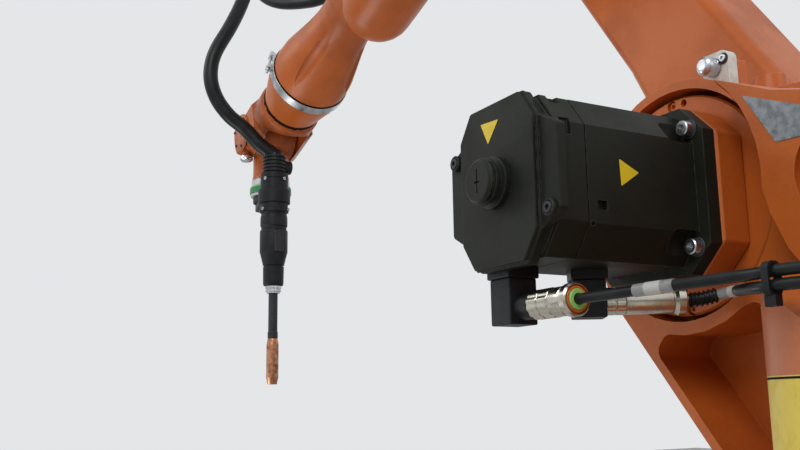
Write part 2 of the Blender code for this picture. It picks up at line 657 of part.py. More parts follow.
def motor_leads():
    power_end = motor_connector("a2_power_connector", "a2_power_sleeve", POWER_EXIT, POWER_KNEE, POWER_TURN)
    signal_end = motor_connector("a2_signal_connector", "a2_signal_sleeve", SIGNAL_EXIT, SIGNAL_KNEE,
                                 SIGNAL_TURN)
    power_way = sleeve_direction(POWER_TURN)
    signal_way = sleeve_direction(SIGNAL_TURN)
    tie = Vector(TIE_PLACE)
    step = Vector((0, 0, -2 * CABLE_R - 0.001))
    gland = Vector(GLAND_PLACE)
    before = Vector((0.014, 0, 0))
    power = [power_end + power_way * CABLE_SEAT, power_end + power_way * 0.012, power_end.lerp(tie, 0.45),
             tie + before * 2, tie + before / 2, tie - before, gland + Vector((0.03, 0, 0)), gland]
    cable("a2_power_cable", power, CABLE_R, RUBBER, SHOULDER_FRAME, 2, 32)
    lower = tie + step
    signal = [signal_end + signal_way * CABLE_SEAT, signal_end + signal_way * 0.009]
    signal += [Vector(spot) for spot in SIGNAL_BEND]
    signal += [lower + before / 2, lower - before, gland + step + Vector((0.03, 0, 0)), gland + step]
    cable("a2_signal_cable", signal, CABLE_R, RUBBER, SHOULDER_FRAME, 2, 36)


def mastering():
    x, y, z = MASTERING_PLACE
    outline = rounded([(x - 0.017, RING_R - 0.02), (x + 0.014, RING_R - 0.02), (x + 0.014, z + 0.0147),
                       (x - 0.017, z + 0.0147)], 0.008)
    bracket = piece("mastering_bracket", extruded(outline, y - MASTERING_THICK, y), WHITE_METAL, SHOULDER_FRAME)
    cut(bracket, rod(y - 0.03, y + 0.01, RING_R + GAP, "Y", 72))
    cap = turned([(0, 0), (0, 0.0095), (0.013, 0.0095), (0.0165, 0.006), (0.0165, 0)], "Y", 20)
    piece("mastering_cap", moved(cap, Matrix.Translation((x, y + GAP, z))), CHROME, SHOULDER_FRAME)


# Link arm: cast beam with a wide foot and head
def link_arm():
    low = LINK_LOW_EDGE
    high = LINK_HIGH_EDGE
    span = LINK_LENGTH
    outline = arc((0, 0), LINK_FOOT_R, 108, 292, 20)
    outline += [(span * 0.20, -low * 1.28), (span * 0.42, -low), (span * 0.70, -low), (span * 0.88, -low * 1.35)]
    outline += arc((span, 0), LINK_HEAD_R, -75, 85, 18)
    outline += [(span * 0.80, high * 0.98), (span * 0.5, high), (span * 0.18, high * 1.05)]
    right = LINK_LEFT - LINK_THICK
    arm = piece("link_arm", extruded(outline, right, LINK_LEFT), PAINT, AXIS_2)
    bevel(arm, LINK_CORNER, 3, 50)
    cover = rounded([(0.10, -0.030), (span - 0.11, -0.030), (span - 0.11, 0.045), (0.10, 0.045)], 0.02)
    piece("link_side_cover", extruded(cover, right - 0.006, right - GAP), PAINT, AXIS_2)


# Arm housing, in the elbow's frame
def arm_housing():
    drop = FOREARM_DROP
    rear = HOUSING_HALF - 0.028
    waist = WAIST_HALF - 0.004
    rings = [round_box_ring(HOUSING_REAR, rear, -drop - rear + 0.01, -drop + rear - 0.01, 0.03),
             round_box_ring(HOUSING_REAR + 0.012, rear + 0.012, -drop - rear - 0.002, -drop + rear + 0.002, 0.035),
             round_box_ring(-0.4 * WAIST_AT, HOUSING_HALF, -HOUSING_LOW, HOUSING_TOP, 0.045),
             round_box_ring(0.4 * WAIST_AT, HOUSING_HALF, -HOUSING_LOW, HOUSING_TOP, 0.050),
             round_box_ring(WAIST_AT, WAIST_HALF, -drop - waist, -drop + waist, 0.050),
             round_box_ring(COLLAR_AT, COLLAR_HALF, -drop - COLLAR_HALF, -drop + COLLAR_HALF, COLLAR_HALF * 0.9),
             round_box_ring(TUBE_START - GAP, MOUTH_HALF, -drop - MOUTH_HALF, -drop + MOUTH_HALF, MOUTH_HALF * 0.99)]
    housing = piece("arm_housing", lofted(rings), PAINT, AXIS_3)
    add(housing, rod(HOUSING_RIGHT, 0.0, LINK_HEAD_R, "Y", 48))
    add(housing, rod(0.0, HOUSING_LEFT, 0.070, "Y", 48))
    half_turn = arc((BELLY_FRONT, 0), BELLY_R, 90, 0, 8)
    profile = [(0.02, 0), (0.02, BELLY_R)] + half_turn
    add(housing, turned(profile, "X", 32, (0, 0, -BELLY_DROP)))
    for name, y, z in (("a4_motor", 0.0, 0.036), ("a5_motor", -0.040, -0.036), ("a6_motor", 0.040, -0.036)):
        rear = HOUSING_REAR - GAP
        profile = [(rear, 0), (rear, ARM_MOTOR_R), (rear - ARM_MOTOR_LENGTH + 0.006, ARM_MOTOR_R),
                   (rear - ARM_MOTOR_LENGTH, ARM_MOTOR_R - 0.006), (rear - ARM_MOTOR_LENGTH, 0)]
        piece(name, turned(profile, "X", 28, (0, y, z - drop)), MOTOR_PAINT, AXIS_3)
    low = HOUSING_LEFT + GAP
    half = ELBOW_MOTOR_HALF
    wide = half + SERVO_FLANGE
    motor = piece("a3_motor", extruded(octagon(half, half * 0.29), low, low + ELBOW_MOTOR_LENGTH), MOTOR_PAINT, AXIS_3)
    add(motor, extruded(octagon(wide, wide * 0.29), low, low + SERVO_FLANGE_THICK))


def forearm():
    centre = (0, 0, -FOREARM_DROP)
    start = TUBE_START
    end = BAND_START - GAP
    profile = [(start, 0)]
    for share, widening in TUBE_FORM:
        profile.append((start + (end - start) * share, TUBE_NECK_R + (TUBE_FLARE_R - TUBE_NECK_R) * widening))
    profile.append((end, 0))
    tube = piece("forearm_tube", turned(profile, "X", 48, centre), PAINT, AXIS_3)
    for i in range(FLUTE_COUNT):
        turn = Matrix.Rotation(math.radians(45 + 360 * i / FLUTE_COUNT), 4, "X")
        cut(tube, moved(flute(), Matrix.Translation(centre) @ turn))
    band = BAND_START
    wide = band + BAND_WIDTH
    profile = [(band, 0), (band, BAND_R), (wide, BAND_R), (wide, 0)]
    piece("forearm_band", turned(profile, "X", 48, centre), STEEL, AXIS_3)
    clasp = rounded([(band - 0.004, BAND_R + GAP), (wide + 0.004, BAND_R + GAP), (wide + 0.004, BAND_R + 0.010),
                     (band - 0.004, BAND_R + 0.010)], 0.002, 2)
    clasp_bm = extruded([(a, b) for a, b in clasp], -0.016, 0.016)
    place = Matrix.Translation(centre) @ Matrix.Rotation(math.radians(-62), 4, "X")
    piece("band_clasp", moved(clasp_bm, place), STEEL, AXIS_3)
    nose = wide + GAP
    profile = [(nose, 0), (nose, BAND_R - 0.002), (nose + 0.010, BAND_R - 0.003),
               (NOSE_END - 0.006, NOSE_END_R + 0.002), (NOSE_END, NOSE_END_R), (NOSE_END, 0)]
    piece("forearm_nose", turned(profile, "X", 48, centre), PAINT, AXIS_3)


def flute():
    """Teardrop scoop on the tube's flare, standing at +Z, its point towards the band."""
    rings = []
    for share, half, low in ((0.0, 0.004, 0.046), (0.25, 0.014, 0.044), (0.55, 0.013, 0.050),
                             (0.8, 0.008, 0.057), (1.0, 0.002, 0.066)):
        x = TUBE_START + (BAND_START - TUBE_START) * (0.227 + 0.644 * share)
        section = [(x, half * math.cos(a), low + half * 0.6 - half * 0.6 * math.sin(a)) for a in
                   [math.pi * k / 8 for k in range(9)]]
        section += [(x, -half, TUBE_FLARE_R + 0.02), (x, half, TUBE_FLARE_R + 0.02)]
        rings.append(section)
    return lofted(rings)


# Wrist: rolling hand with a fork, tilting head, tool flange
def wrist_hand():
    seat = NOSE_END + HUB_GAP - FOREARM_LENGTH
    start = seat + HAND_GROOVE
    front = -TILT_R - SWING_GAP
    profile = [(seat, 0), (seat, SPIGOT_R), (start, SPIGOT_R), (start, NOSE_END_R), (start + 0.006, HAND_R),
               (front - 0.003, HAND_R), (front, HAND_R - 0.006), (front, 0)]
    hand = piece("wrist_hand", turned(profile, "X", 40), PAINT, AXIS_4)
    spread = 1.25
    far = spread * HAND_R
    deep = front - (THROAT_ROOT + front) * (far - THROAT_HALF) / (HAND_R - THROAT_HALF)
    throat = [(front, THROAT_HALF), (front, -THROAT_HALF), (deep, -far), (0.0, -far), (0.0, far), (deep, far)]
    cut(hand, extruded([(x + SEAM, z) for x, z in throat], -FORK_INNER - 0.001, FORK_INNER + 0.001))
    for side in (-1, 1):
        outline = arc((0, 0), FORK_R, -90, 90, 16)
        outline += [(-0.060, HAND_R - 0.010), (-0.060, -HAND_R + 0.010)]
        low, high = sorted((side * FORK_INNER, side * FORK_OUTER))
        add(hand, extruded(outline, low, high))
    for side in (-1, 1):
        for edge in (-1, 1):
            y, z = side * FORK_OUTER, edge * FORK_R
            slant = [(y - side * FORK_CHAMFER, z), (y, z - edge * FORK_CHAMFER)]
            far = [(y + side * 0.02, z - edge * (FORK_CHAMFER - 0.02)), (y + side * 0.02, z + edge * 0.02),
                   (y - side * (FORK_CHAMFER + 0.02), z + edge * 0.02)]
            start_x = front - 0.015
            cut(hand, extruded([slant[1], far[0], far[1], far[2]], start_x, FORK_R + 0.01, "X"))
    direction = math.radians(-72)
    spot = Matrix.Translation((0, CAP_SIDE, 0)) @ Matrix.Rotation(-direction, 4, "Y")
    stud = turned([(0.020, 0), (0.020, 0.0070), (FORK_R + 0.002, 0.0070), (FORK_R + 0.002, 0)], "X", 20)
    add(hand, moved(stud, spot))
    base = FORK_R + 0.002 + GAP
    cap = turned([(base, 0), (base, CAP_R), (base + 0.004, CAP_R), (base + 0.009, CAP_R * 0.65), (base + 0.010, 0)], "X", 20)
    piece("wrist_cap", moved(cap, spot), CHROME, AXIS_4)
    cover = turned([(FORK_OUTER + GAP, 0), (FORK_OUTER + GAP, 0.036), (FORK_OUTER + 0.004, 0.034),
                    (FORK_OUTER + 0.004, 0)], "Y", 32)
    piece("hand_side_cover", cover, PAINT, AXIS_4)


def tilt_housing():
    half = TILT_HALF
    profile = [(-half, 0), (-half, TILT_R - 0.004), (-half + 0.004, TILT_R), (half - 0.004, TILT_R),
               (half, TILT_R - 0.004), (half, 0)]
    tilt = piece("tilt_housing", turned(profile, "Y", 40), PAINT, AXIS_5)
    end = FLANGE_FACE - HUB_GAP
    add(tilt, turned([(0, 0), (0, NECK_TURN_R), (end - 0.009, NECK_TURN_R), (end - 0.002, FLANGE_R - 0.001),
                      (end, FLANGE_R - 0.001), (end, 0)], "X", 40))


def tool():
    face = FLANGE_FACE
    profile = [(face, 0), (face, FLANGE_R), (face + 0.012, FLANGE_R), (face + 0.012, 0)]
    piece("tool_flange", turned(profile, "X", 40), STEEL, AXIS_6)
    mid = face + 0.012 + GAP
    end = face + RING_STACK
    profile = [(mid, 0), (mid, FLANGE_R + 0.003), (end - 0.012, FLANGE_R + 0.003), (end - 0.010, FLANGE_R - 0.003),
               (end, FLANGE_R - 0.003), (end, 0)]
    piece("insulator_ring", turned(profile, "X", 40), GREEN_RING, AXIS_6)
    y, z = TORCH_OFFSET_Y, TORCH_OFFSET_Z
    low = end + GAP
    hold = TORCH_R + GAP
    way = Vector((y, z)).normalized()
    side = Vector((-way[1], way[0]))
    far = Vector((y, z))
    corners = [side * 0.028 - way * 0.026, side * -0.028 - way * 0.026, far - side * 0.022, far + side * 0.022]
    outline = rounded([tuple(c) for c in corners], 0.012)
    bracket = piece("torch_bracket", extruded(outline, low, low + BRACKET_THICK, "X"), BLACK_PLASTIC, AXIS_6)
    add(bracket, rod(low - 0.006, low + BRACKET_THICK + 0.006, hold + 0.0035, "X", 32, (0, y, z)))
    cut(bracket, rod(low - 0.03, low + 0.05, hold, "X", 32, (0, y, z)))


def torch():
    top = TORCH_TOP
    r = TORCH_R
    joint = top + TAIL_LENGTH
    seam, collar, taper, stem = TORCH_SEAM, TORCH_COLLAR, TORCH_TAPER, TORCH_STEM
    profile = [(joint, 0), (joint, r), (seam, r), (seam + 0.002, r - 0.002), (seam + 0.006, r - 0.002),
               (seam + 0.008, r + 0.001), (collar - 0.002, r + 0.001), (collar, r - 0.001), (collar + 0.004, r + 0.003),
               (taper, r + 0.003), (stem - 0.002, r - 0.004), (stem, r - 0.005), (TORCH_END, r - 0.006),
               (TORCH_END, 0)]
    piece("torch_body", turned(profile, "X", 32), BLACK_PLASTIC, TORCH_FRAME)
    ribs = [(top, 0), (top, r - 0.007)]
    count = 5
    pitch = (TAIL_LENGTH - GAP) / count
    for i in range(count):
        x = top + i * pitch
        ribs += [(x + pitch * 0.15, r - 0.0035), (x + pitch * 0.6, r - 0.0035), (x + pitch * 0.7, r - 0.0065),
                 (x + pitch, r - 0.0065)]
    ribs.append((joint - GAP, 0))
    tail = piece("torch_tail", turned(ribs, "X", 24), RUBBER, TORCH_FRAME)
    ball = turned([(-KNUCKLE_R, 0)] + [(a, b) for b, a in arc((0, 0), KNUCKLE_R, -72, 72, 8)] + [(KNUCKLE_R, 0)],
                  "X", 24, (top, 0, 0))
    add(tail, ball)
    add(tail, rod(-0.030, 0.0, 0.0120, "Y", 24, (top + 0.019, 0, 0)))
    lean = along_frame(Vector((top, 0, 0)), Vector(STUB_WAY).normalized())
    add(tail, moved(rod(0.004, STUB_LENGTH, HOSE_R + 0.001, "X", 24), lean))
    start = TORCH_END + GAP
    end = NOZZLE_START - GAP
    profile = [(start, 0), (start, NECK_R + 0.008), (start + 0.014, NECK_R + 0.008), (start + 0.016, NECK_R),
               (end, NECK_R), (end, 0)]
    piece("torch_neck", turned(profile, "X", 24), STEEL, TORCH_FRAME)
    start = NOZZLE_START
    profile = [(start, 0.006), (start, NECK_R), (start + 0.010, NECK_R + 0.002), (TORCH_TIP - 0.012, NECK_R + 0.002),
               (TORCH_TIP, NECK_R - 0.0005), (TORCH_TIP, 0.006)]
    piece("gas_nozzle", turned(profile, "X", 24), COPPER, TORCH_FRAME)


# Hose from the torch's tail, up beside the wrist, round one loop and back to the arm's top
HOSE_ROUTE = [(1.205, 0.078, 0.990), (1.208, 0.105, 1.010), (1.210, 0.127, 1.037), (1.210, 0.139, 1.067),
              (1.210, 0.140, 1.098), (1.210, 0.131, 1.131), (1.212, 0.106, 1.180), (1.223, 0.082, 1.233),
              (1.239, 0.060, 1.298), (1.263, 0.041, 1.362), (1.297, 0.024, 1.425), (1.337, 0.014, 1.464),
              (1.383, 0.008, 1.483), (1.430, 0.000, 1.479), (1.460, -0.012, 1.452), (1.469, -0.027, 1.408),
              (1.453, -0.045, 1.372), (1.418, -0.065, 1.346), (1.367, -0.088, 1.329), (1.300, -0.110, 1.315),
              (1.227, -0.123, 1.313), (1.139, -0.124, 1.306), (1.034, -0.114, 1.295), (0.950, -0.098, 1.286),
              (0.880, -0.083, 1.288)]


def hose():
    bpy.context.view_layer.update()
    way = Vector(STUB_WAY).normalized()
    tail = TORCH_FRAME.matrix_world
    mouth = Vector((TORCH_TOP, 0, 0)) + way * (STUB_LENGTH + CABLE_SEAT)
    start = [tail @ mouth, tail @ (mouth + way * 0.020)]
    holder = AXIS_3.matrix_world
    seat = Vector(HOLDER_PLACE) + Vector((CABLE_SEAT, 0, 0))
    end = [holder @ (seat + Vector((0.03, 0, 0))), holder @ (seat + Vector((0.008, 0, 0))), holder @ seat]
    cable("torch_hose", start + HOSE_ROUTE + end, HOSE_R, RUBBER, None, 3, 76)


def hose_holder():
    x, y, z = HOLDER_PLACE
    tube = turned([(x - 0.070, 0), (x - 0.070, HOSE_R + 0.003), (x - 0.012, HOSE_R + 0.003), (x - 0.010, HOSE_R + 0.007),
                   (x, HOSE_R + 0.007), (x, 0)], "X", 28, (0, y, z))
    holder = piece("hose_holder", tube, DARK_METAL, AXIS_3)
    post = extruded([(x - 0.060, HOUSING_TOP + GAP), (x - 0.020, HOUSING_TOP + GAP), (x - 0.025, z - 0.005),
                     (x - 0.055, z - 0.005)], y - 0.006, y + 0.006)
    add(holder, post)
    foot = box((x - 0.075, y - 0.022, HOUSING_TOP + GAP), (x - 0.005, y + 0.022, HOUSING_TOP + 0.008))
    add(holder, foot)


def cable_tie():
    x, y, z = TIE_PLACE
    pitch = 2 * CABLE_R + 0.001
    slack = 0.0007
    half = CABLE_R + slack
    wall = 0.0016
    low = z - pitch - half
    high = z + half
    outer = rounded([(y - half - wall, low - wall), (y + half + wall, low - wall), (y + half + wall, high + wall),
                     (y - half - wall, high + wall)], half)
    inner = rounded([(y - half, low), (y + half, low), (y + half, high), (y - half, high)], half * 0.9)
    tie = piece("cable_tie", extruded(outer, x - 0.0025, x + 0.0025, "X"), BLACK_PLASTIC, SHOULDER_FRAME)
    cut(tie, extruded(inner, x - 0.01, x + 0.01, "X"))
    add(tie, box((x - 0.004, y - 0.003, low - wall - 0.006), (x + 0.004, y + 0.003, low - wall * 0.5)))


def cable_gland():
    x, y, z = GLAND_PLACE
    pitch = 2 * CABLE_R + 0.001
    front = x - CABLE_SEAT
    outline = rounded([(front - 0.038, z - pitch - 0.013), (front, z - pitch - 0.013), (front, z + 0.013),
                       (front - 0.038, z + 0.013)], 0.004)
    gland = piece("cable_gland", extruded(outline, y - 0.060, y + 0.012), DARK_METAL, SHOULDER_FRAME)
    cut(gland, rod(-0.3, 0.3, TOWER_R + GAP, "Z", 96, (-AXIS_1_TO_2, 0, 0)))


base_frame()
connector_panel()
rotating_column()
a1_motor()
shoulder_gear()
shoulder_motor()
motor_leads()
mastering()
link_arm()
arm_housing()
forearm()
wrist_hand()
tilt_housing()
tool()
torch()
hose()
hose_holder()
cable_tie()
cable_gland()
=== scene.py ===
import json
import math

import bmesh
import bpy
from mathutils import Matrix, Vector, noise

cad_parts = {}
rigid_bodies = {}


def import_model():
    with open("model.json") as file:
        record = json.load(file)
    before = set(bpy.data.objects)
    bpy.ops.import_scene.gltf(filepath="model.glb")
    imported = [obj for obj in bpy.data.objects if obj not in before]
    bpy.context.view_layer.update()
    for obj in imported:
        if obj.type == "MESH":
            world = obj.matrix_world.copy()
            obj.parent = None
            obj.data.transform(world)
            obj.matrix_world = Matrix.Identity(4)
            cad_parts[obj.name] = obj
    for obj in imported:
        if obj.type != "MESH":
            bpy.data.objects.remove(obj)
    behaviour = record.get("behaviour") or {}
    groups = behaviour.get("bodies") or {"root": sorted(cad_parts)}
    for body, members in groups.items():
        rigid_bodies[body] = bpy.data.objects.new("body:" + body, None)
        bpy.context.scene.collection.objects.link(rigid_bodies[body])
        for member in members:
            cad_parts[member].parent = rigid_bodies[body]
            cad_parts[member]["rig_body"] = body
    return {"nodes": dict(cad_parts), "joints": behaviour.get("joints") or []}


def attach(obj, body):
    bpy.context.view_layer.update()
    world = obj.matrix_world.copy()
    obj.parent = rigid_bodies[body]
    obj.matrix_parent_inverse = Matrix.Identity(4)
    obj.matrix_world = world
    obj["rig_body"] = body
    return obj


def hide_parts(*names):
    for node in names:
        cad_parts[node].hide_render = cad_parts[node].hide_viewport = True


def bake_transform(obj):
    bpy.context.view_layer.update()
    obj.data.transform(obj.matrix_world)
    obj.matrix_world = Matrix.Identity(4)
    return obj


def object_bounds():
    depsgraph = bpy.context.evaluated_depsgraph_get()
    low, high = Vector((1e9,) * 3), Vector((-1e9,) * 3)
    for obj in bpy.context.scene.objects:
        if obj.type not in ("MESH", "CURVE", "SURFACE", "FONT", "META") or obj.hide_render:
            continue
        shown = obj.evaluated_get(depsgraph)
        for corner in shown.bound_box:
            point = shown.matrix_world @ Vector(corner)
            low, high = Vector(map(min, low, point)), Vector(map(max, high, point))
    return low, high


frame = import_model()
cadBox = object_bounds()
print("frame loaded")

# Places that everything else hangs from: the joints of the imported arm
pivots = {joint["name"]: Vector(joint["pos_m"]) for joint in frame["joints"]}
axes = {joint["name"]: Vector(joint["axis"]) for joint in frame["joints"]}
shoulder = pivots["a2_shoulder"]
elbow = pivots["a3_elbow"]
wrist = pivots["a5_tilt"]


def laidAlong(origin, xAxis, yAxis=(0, 1, 0)):
    # a frame with local X along a member and local Y across the arm
    x = Vector(xAxis).normalized()
    y = (Vector(yAxis) - x * x.dot(Vector(yAxis))).normalized()
    z = x.cross(y)
    turn = Matrix((x, y, z)).transposed().to_4x4()
    return Matrix.Translation(origin) @ turn


columnFrame = Matrix.Translation(shoulder)
linkFrame = laidAlong(shoulder, elbow - shoulder)
armFrame = laidAlong(elbow, axes["a4_roll"])
handFrame = laidAlong(wrist, axes["a4_roll"])
toolFrame = laidAlong(wrist, axes["a6_spin"])


# Camera, light and floor
def buildStage():
    view = {
        "place": (-0.3087, 0.5981, 0.5137),
        "right": (-0.48126, -0.87645, -0.01458),
        "up": (-0.16833, 0.07609, 0.98278),
        "focalPixels": 911.5,
        "imageWidth": 800,
        "sensor": 36.0,
    }
    data = bpy.data.cameras.new("photoCamera")
    data.sensor_width = view["sensor"]
    data.lens = view["focalPixels"] * view["sensor"] / view["imageWidth"]
    data.clip_start = 0.01
    camera = bpy.data.objects.new("photoCamera", data)
    bpy.context.collection.objects.link(camera)
    right = Vector(view["right"]).normalized()
    up = Vector(view["up"])
    up = (up - right * right.dot(up)).normalized()
    back = right.cross(up)
    camera.matrix_world = Matrix.Translation(view["place"]) @ Matrix((right, up, back)).transposed().to_4x4()
    bpy.context.scene.camera = camera

    lamps = {
        "keyLamp": {"place": (-0.9, 1.5, 2.3), "size": 1.3, "watts": 28, "aim": (0.45, 0.0, 0.8)},
        "fillLamp": {"place": (-1.8, -0.6, 1.2), "size": 1.0, "watts": 8, "aim": (0.3, 0.0, 0.7)},
        "rimLamp": {"place": (1.9, 1.3, 2.0), "size": 1.0, "watts": 6, "aim": (0.9, 0.0, 1.0)},
        "lowLamp": {"place": (1.35, 0.55, 0.35), "size": 0.35, "watts": 2.2, "aim": (0.9, 0.0, 0.95)},
    }
    for name, lamp in lamps.items():
        light = bpy.data.lights.new(name, "AREA")
        light.shape = "SQUARE"
        light.size = lamp["size"]
        light.energy = lamp["watts"]
        holder = bpy.data.objects.new(name, light)
        bpy.context.collection.objects.link(holder)
        place = Vector(lamp["place"])
        holder.location = place
        holder.rotation_euler = (Vector(lamp["aim"]) - place).to_track_quat("-Z", "Y").to_euler()

    room = {"backdrop": "E4E6E8", "light": "F2F3F5", "lightStrength": 0.44, "floor": "D9D9D7", "floorHalf": 6.0}
    world = bpy.data.worlds.new("studio")
    bpy.context.scene.world = world
    world.use_nodes = True
    tree = world.node_tree
    tree.nodes.clear()
    path = addNode(tree, "LightPath")
    seen = addNode(tree, "Math", {"operation": "MAXIMUM"}, {0: path.outputs["Is Camera Ray"],
                                                          1: path.outputs["Is Transmission Ray"]})
    seen = addNode(tree, "Math", {"operation": "MAXIMUM"}, {0: seen.outputs[0], 1: path.outputs["Is Glossy Ray"]})
    shown = addNode(tree, "Background", {"Color": hexColour(room["backdrop"]), "Strength": 1.0})
    lit = addNode(tree, "Background", {"Color": hexColour(room["light"]), "Strength": room["lightStrength"]})
    either = addNode(tree, "MixShader", {}, {0: seen.outputs[0], 1: lit.outputs[0], 2: shown.outputs[0]})
    addNode(tree, "OutputWorld", {}, {"Surface": either.outputs[0]})

    ground = bmesh.new()
    bmesh.ops.create_grid(ground, x_segments=1, y_segments=1, size=room["floorHalf"])
    mesh = bpy.data.meshes.new("floor")
    ground.to_mesh(mesh)
    ground.free()
    floor = bpy.data.objects.new("floor", mesh)
    bpy.context.collection.objects.link(floor)
    floor.location.z = cadBox[0].z
    tree, shader = startMaterial("painted studio floor")
    shader.inputs["Base Color"].default_value = hexColour(room["floor"])
    shader.inputs["Roughness"].default_value = 0.75
    mesh.materials.append(bpy.data.materials["painted studio floor"])
    settings = bpy.context.scene.view_settings
    settings.view_transform = "Standard"
    print("stage built")


# Materials: colours are sRGB hex, sizes of patterns are millimetres on the real arm
def hexColour(text):
    def linear(part):
        value = int(part, 16) / 255
        return value / 12.92 if value <= 0.04045 else ((value + 0.055) / 1.055) ** 2.4
    return (linear(text[0:2]), linear(text[2:4]), linear(text[4:6]), 1.0)


def addNode(tree, kind, values=None, links=None):
    node = tree.nodes.new("ShaderNode" + kind)
    for key, value in (values or {}).items():
        if isinstance(key, str) and hasattr(node, key):
            setattr(node, key, value)
        else:
            node.inputs[key].default_value = value
    for key, source in (links or {}).items():
        tree.links.new(source, node.inputs[key])
    return node


def startMaterial(name):
    made = bpy.data.materials.new(name)
    made.use_nodes = True
    tree = made.node_tree
    tree.nodes.clear()
    shader = addNode(tree, "BsdfPrincipled")
    addNode(tree, "OutputMaterial", {}, {"Surface": shader.outputs[0]})
    return tree, shader


def perMetre(millimetres):
    # a noise's scale, in cells to the metre, from the size of one cell
    return 1000.0 / millimetres


def mixed(tree, factor, first, second, blend="MIX"):
    # colour mix of two sockets or two colours
    node = addNode(tree, "Mix", {"data_type": "RGBA", "blend_type": blend})
    for place, source in ((0, factor), (6, first), (7, second)):
        if isinstance(source, (float, int, tuple)):
            node.inputs[place].default_value = source
        else:
            tree.links.new(source, node.inputs[place])
    return node.outputs[2]


def ranged(tree, source, low, high, toLow=0.0, toHigh=1.0):
    node = addNode(tree, "MapRange", {1: low, 2: high, 3: toLow, 4: toHigh}, {0: source})
    return node.outputs[0]


def coatedMetal(name, finish):
    # paint or powder on a casting: slight orange peel, soiled patches, specks, and edges rubbed lighter; on the wrist
    # finish the pale edges are partly a painted highlight
    tree, shader = startMaterial(name)
    place = addNode(tree, "TexCoord").outputs["Object"]
    patch = addNode(tree, "TexNoise", {"Scale": perMetre(finish["patchMm"]), "Detail": 5.0, "Roughness": 0.6},
                    {"Vector": place})
    speck = addNode(tree, "TexNoise", {"Scale": perMetre(finish["speckMm"]), "Detail": 3.0, "Roughness": 0.7},
                    {"Vector": place})
    grain = addNode(tree, "TexNoise", {"Scale": perMetre(finish["grainMm"]), "Detail": 2.0}, {"Vector": place})
    soiled = ranged(tree, patch.outputs[0], 0.47, 0.66)
    colour = mixed(tree, soiled, hexColour(finish["colour"]), hexColour(finish["soiled"]))
    specks = ranged(tree, speck.outputs[0], 0.66, 0.74, 0.0, finish["speckShare"])
    colour = mixed(tree, specks, colour, hexColour(finish["speck"]))
    rounded = addNode(tree, "Bevel", {"samples": 4, "Radius": finish["edgeMm"] / 1000})
    surface = addNode(tree, "NewGeometry")
    turned = addNode(tree, "VectorMath", {"operation": "DOT_PRODUCT"},
                     {0: rounded.outputs[0], 1: surface.outputs["Normal"]})
    edge = ranged(tree, turned.outputs["Value"], 0.995, 0.90, 0.0, finish["edgeShare"])
    # lighter edges: rubbed paint, and on the wrist finish also a painted highlight
    rubbedAndLitEdge = addNode(tree, "Math", {"operation": "MULTIPLY"},
                     {0: edge, 1: ranged(tree, speck.outputs[0], 0.35, 0.62)})
    colour = mixed(tree, rubbedAndLitEdge.outputs[0], colour, hexColour(finish["edge"]))
    tree.links.new(colour, shader.inputs["Base Color"])
    rough = ranged(tree, patch.outputs[0], 0.3, 0.7, finish["roughness"] - 0.05, finish["roughness"] + 0.08)
    tree.links.new(rough, shader.inputs["Roughness"])
    peel = addNode(tree, "Bump", {"Strength": finish["bump"], "Distance": 0.0006}, {"Height": grain.outputs[0]})
    tree.links.new(peel.outputs[0], shader.inputs["Normal"])
    shader.inputs["Coat Weight"].default_value = finish["coat"]
    shader.inputs["Coat Roughness"].default_value = 0.22
    shader.inputs["Specular IOR Level"].default_value = finish["specular"]
    return bpy.data.materials[name]


def bareMetal(name, finish):
    # plated or machined steel and aluminium: fine turning or drawing marks and a dull film in patches
    tree, shader = startMaterial(name)
    place = addNode(tree, "TexCoord").outputs["Object"]
    patch = addNode(tree, "TexNoise", {"Scale": perMetre(finish["patchMm"]), "Detail": 4.0}, {"Vector": place})
    stretched = addNode(tree, "Mapping", {"Scale": finish["stretch"]}, {"Vector": place})
    marks = addNode(tree, "TexNoise", {"Scale": perMetre(finish["markMm"]), "Detail": 2.0},
                    {"Vector": stretched.outputs[0]})
    dull = ranged(tree, patch.outputs[0], 0.42, 0.68, 0.0, finish["dullShare"])
    colour = mixed(tree, dull, hexColour(finish["colour"]), hexColour(finish["dull"]))
    tree.links.new(colour, shader.inputs["Base Color"])
    shader.inputs["Metallic"].default_value = 1.0
    low = finish["roughness"]
    rough = ranged(tree, patch.outputs[0], 0.35, 0.7, low, low + finish["roughnessSpread"])
    tree.links.new(rough, shader.inputs["Roughness"])
    bump = addNode(tree, "Bump", {"Strength": finish["bump"], "Distance": 0.0003}, {"Height": marks.outputs[0]})
    tree.links.new(bump.outputs[0], shader.inputs["Normal"])
    return bpy.data.materials[name]


def polymer(name, finish):
    # moulded plastic or rubber: even colour with faint mottling, dust and a fine grain
    tree, shader = startMaterial(name)
    place = addNode(tree, "TexCoord").outputs["Object"]
    patch = addNode(tree, "TexNoise", {"Scale": perMetre(finish["patchMm"]), "Detail": 4.0}, {"Vector": place})
    grain = addNode(tree, "TexNoise", {"Scale": perMetre(finish["grainMm"]), "Detail": 2.0}, {"Vector": place})
    dusty = ranged(tree, patch.outputs[0], 0.5, 0.72, 0.0, finish["dustShare"])
    colour = mixed(tree, dusty, hexColour(finish["colour"]), hexColour(finish["dust"]))
    tree.links.new(colour, shader.inputs["Base Color"])
    low = finish["roughness"]
    tree.links.new(ranged(tree, patch.outputs[0], 0.3, 0.7, low - 0.05, low + 0.10), shader.inputs["Roughness"])
    bump = addNode(tree, "Bump", {"Strength": finish["bump"], "Distance": 0.0004}, {"Height": grain.outputs[0]})
    tree.links.new(bump.outputs[0], shader.inputs["Normal"])
    shader.inputs["Specular IOR Level"].default_value = finish["specular"]
    return bpy.data.materials[name]


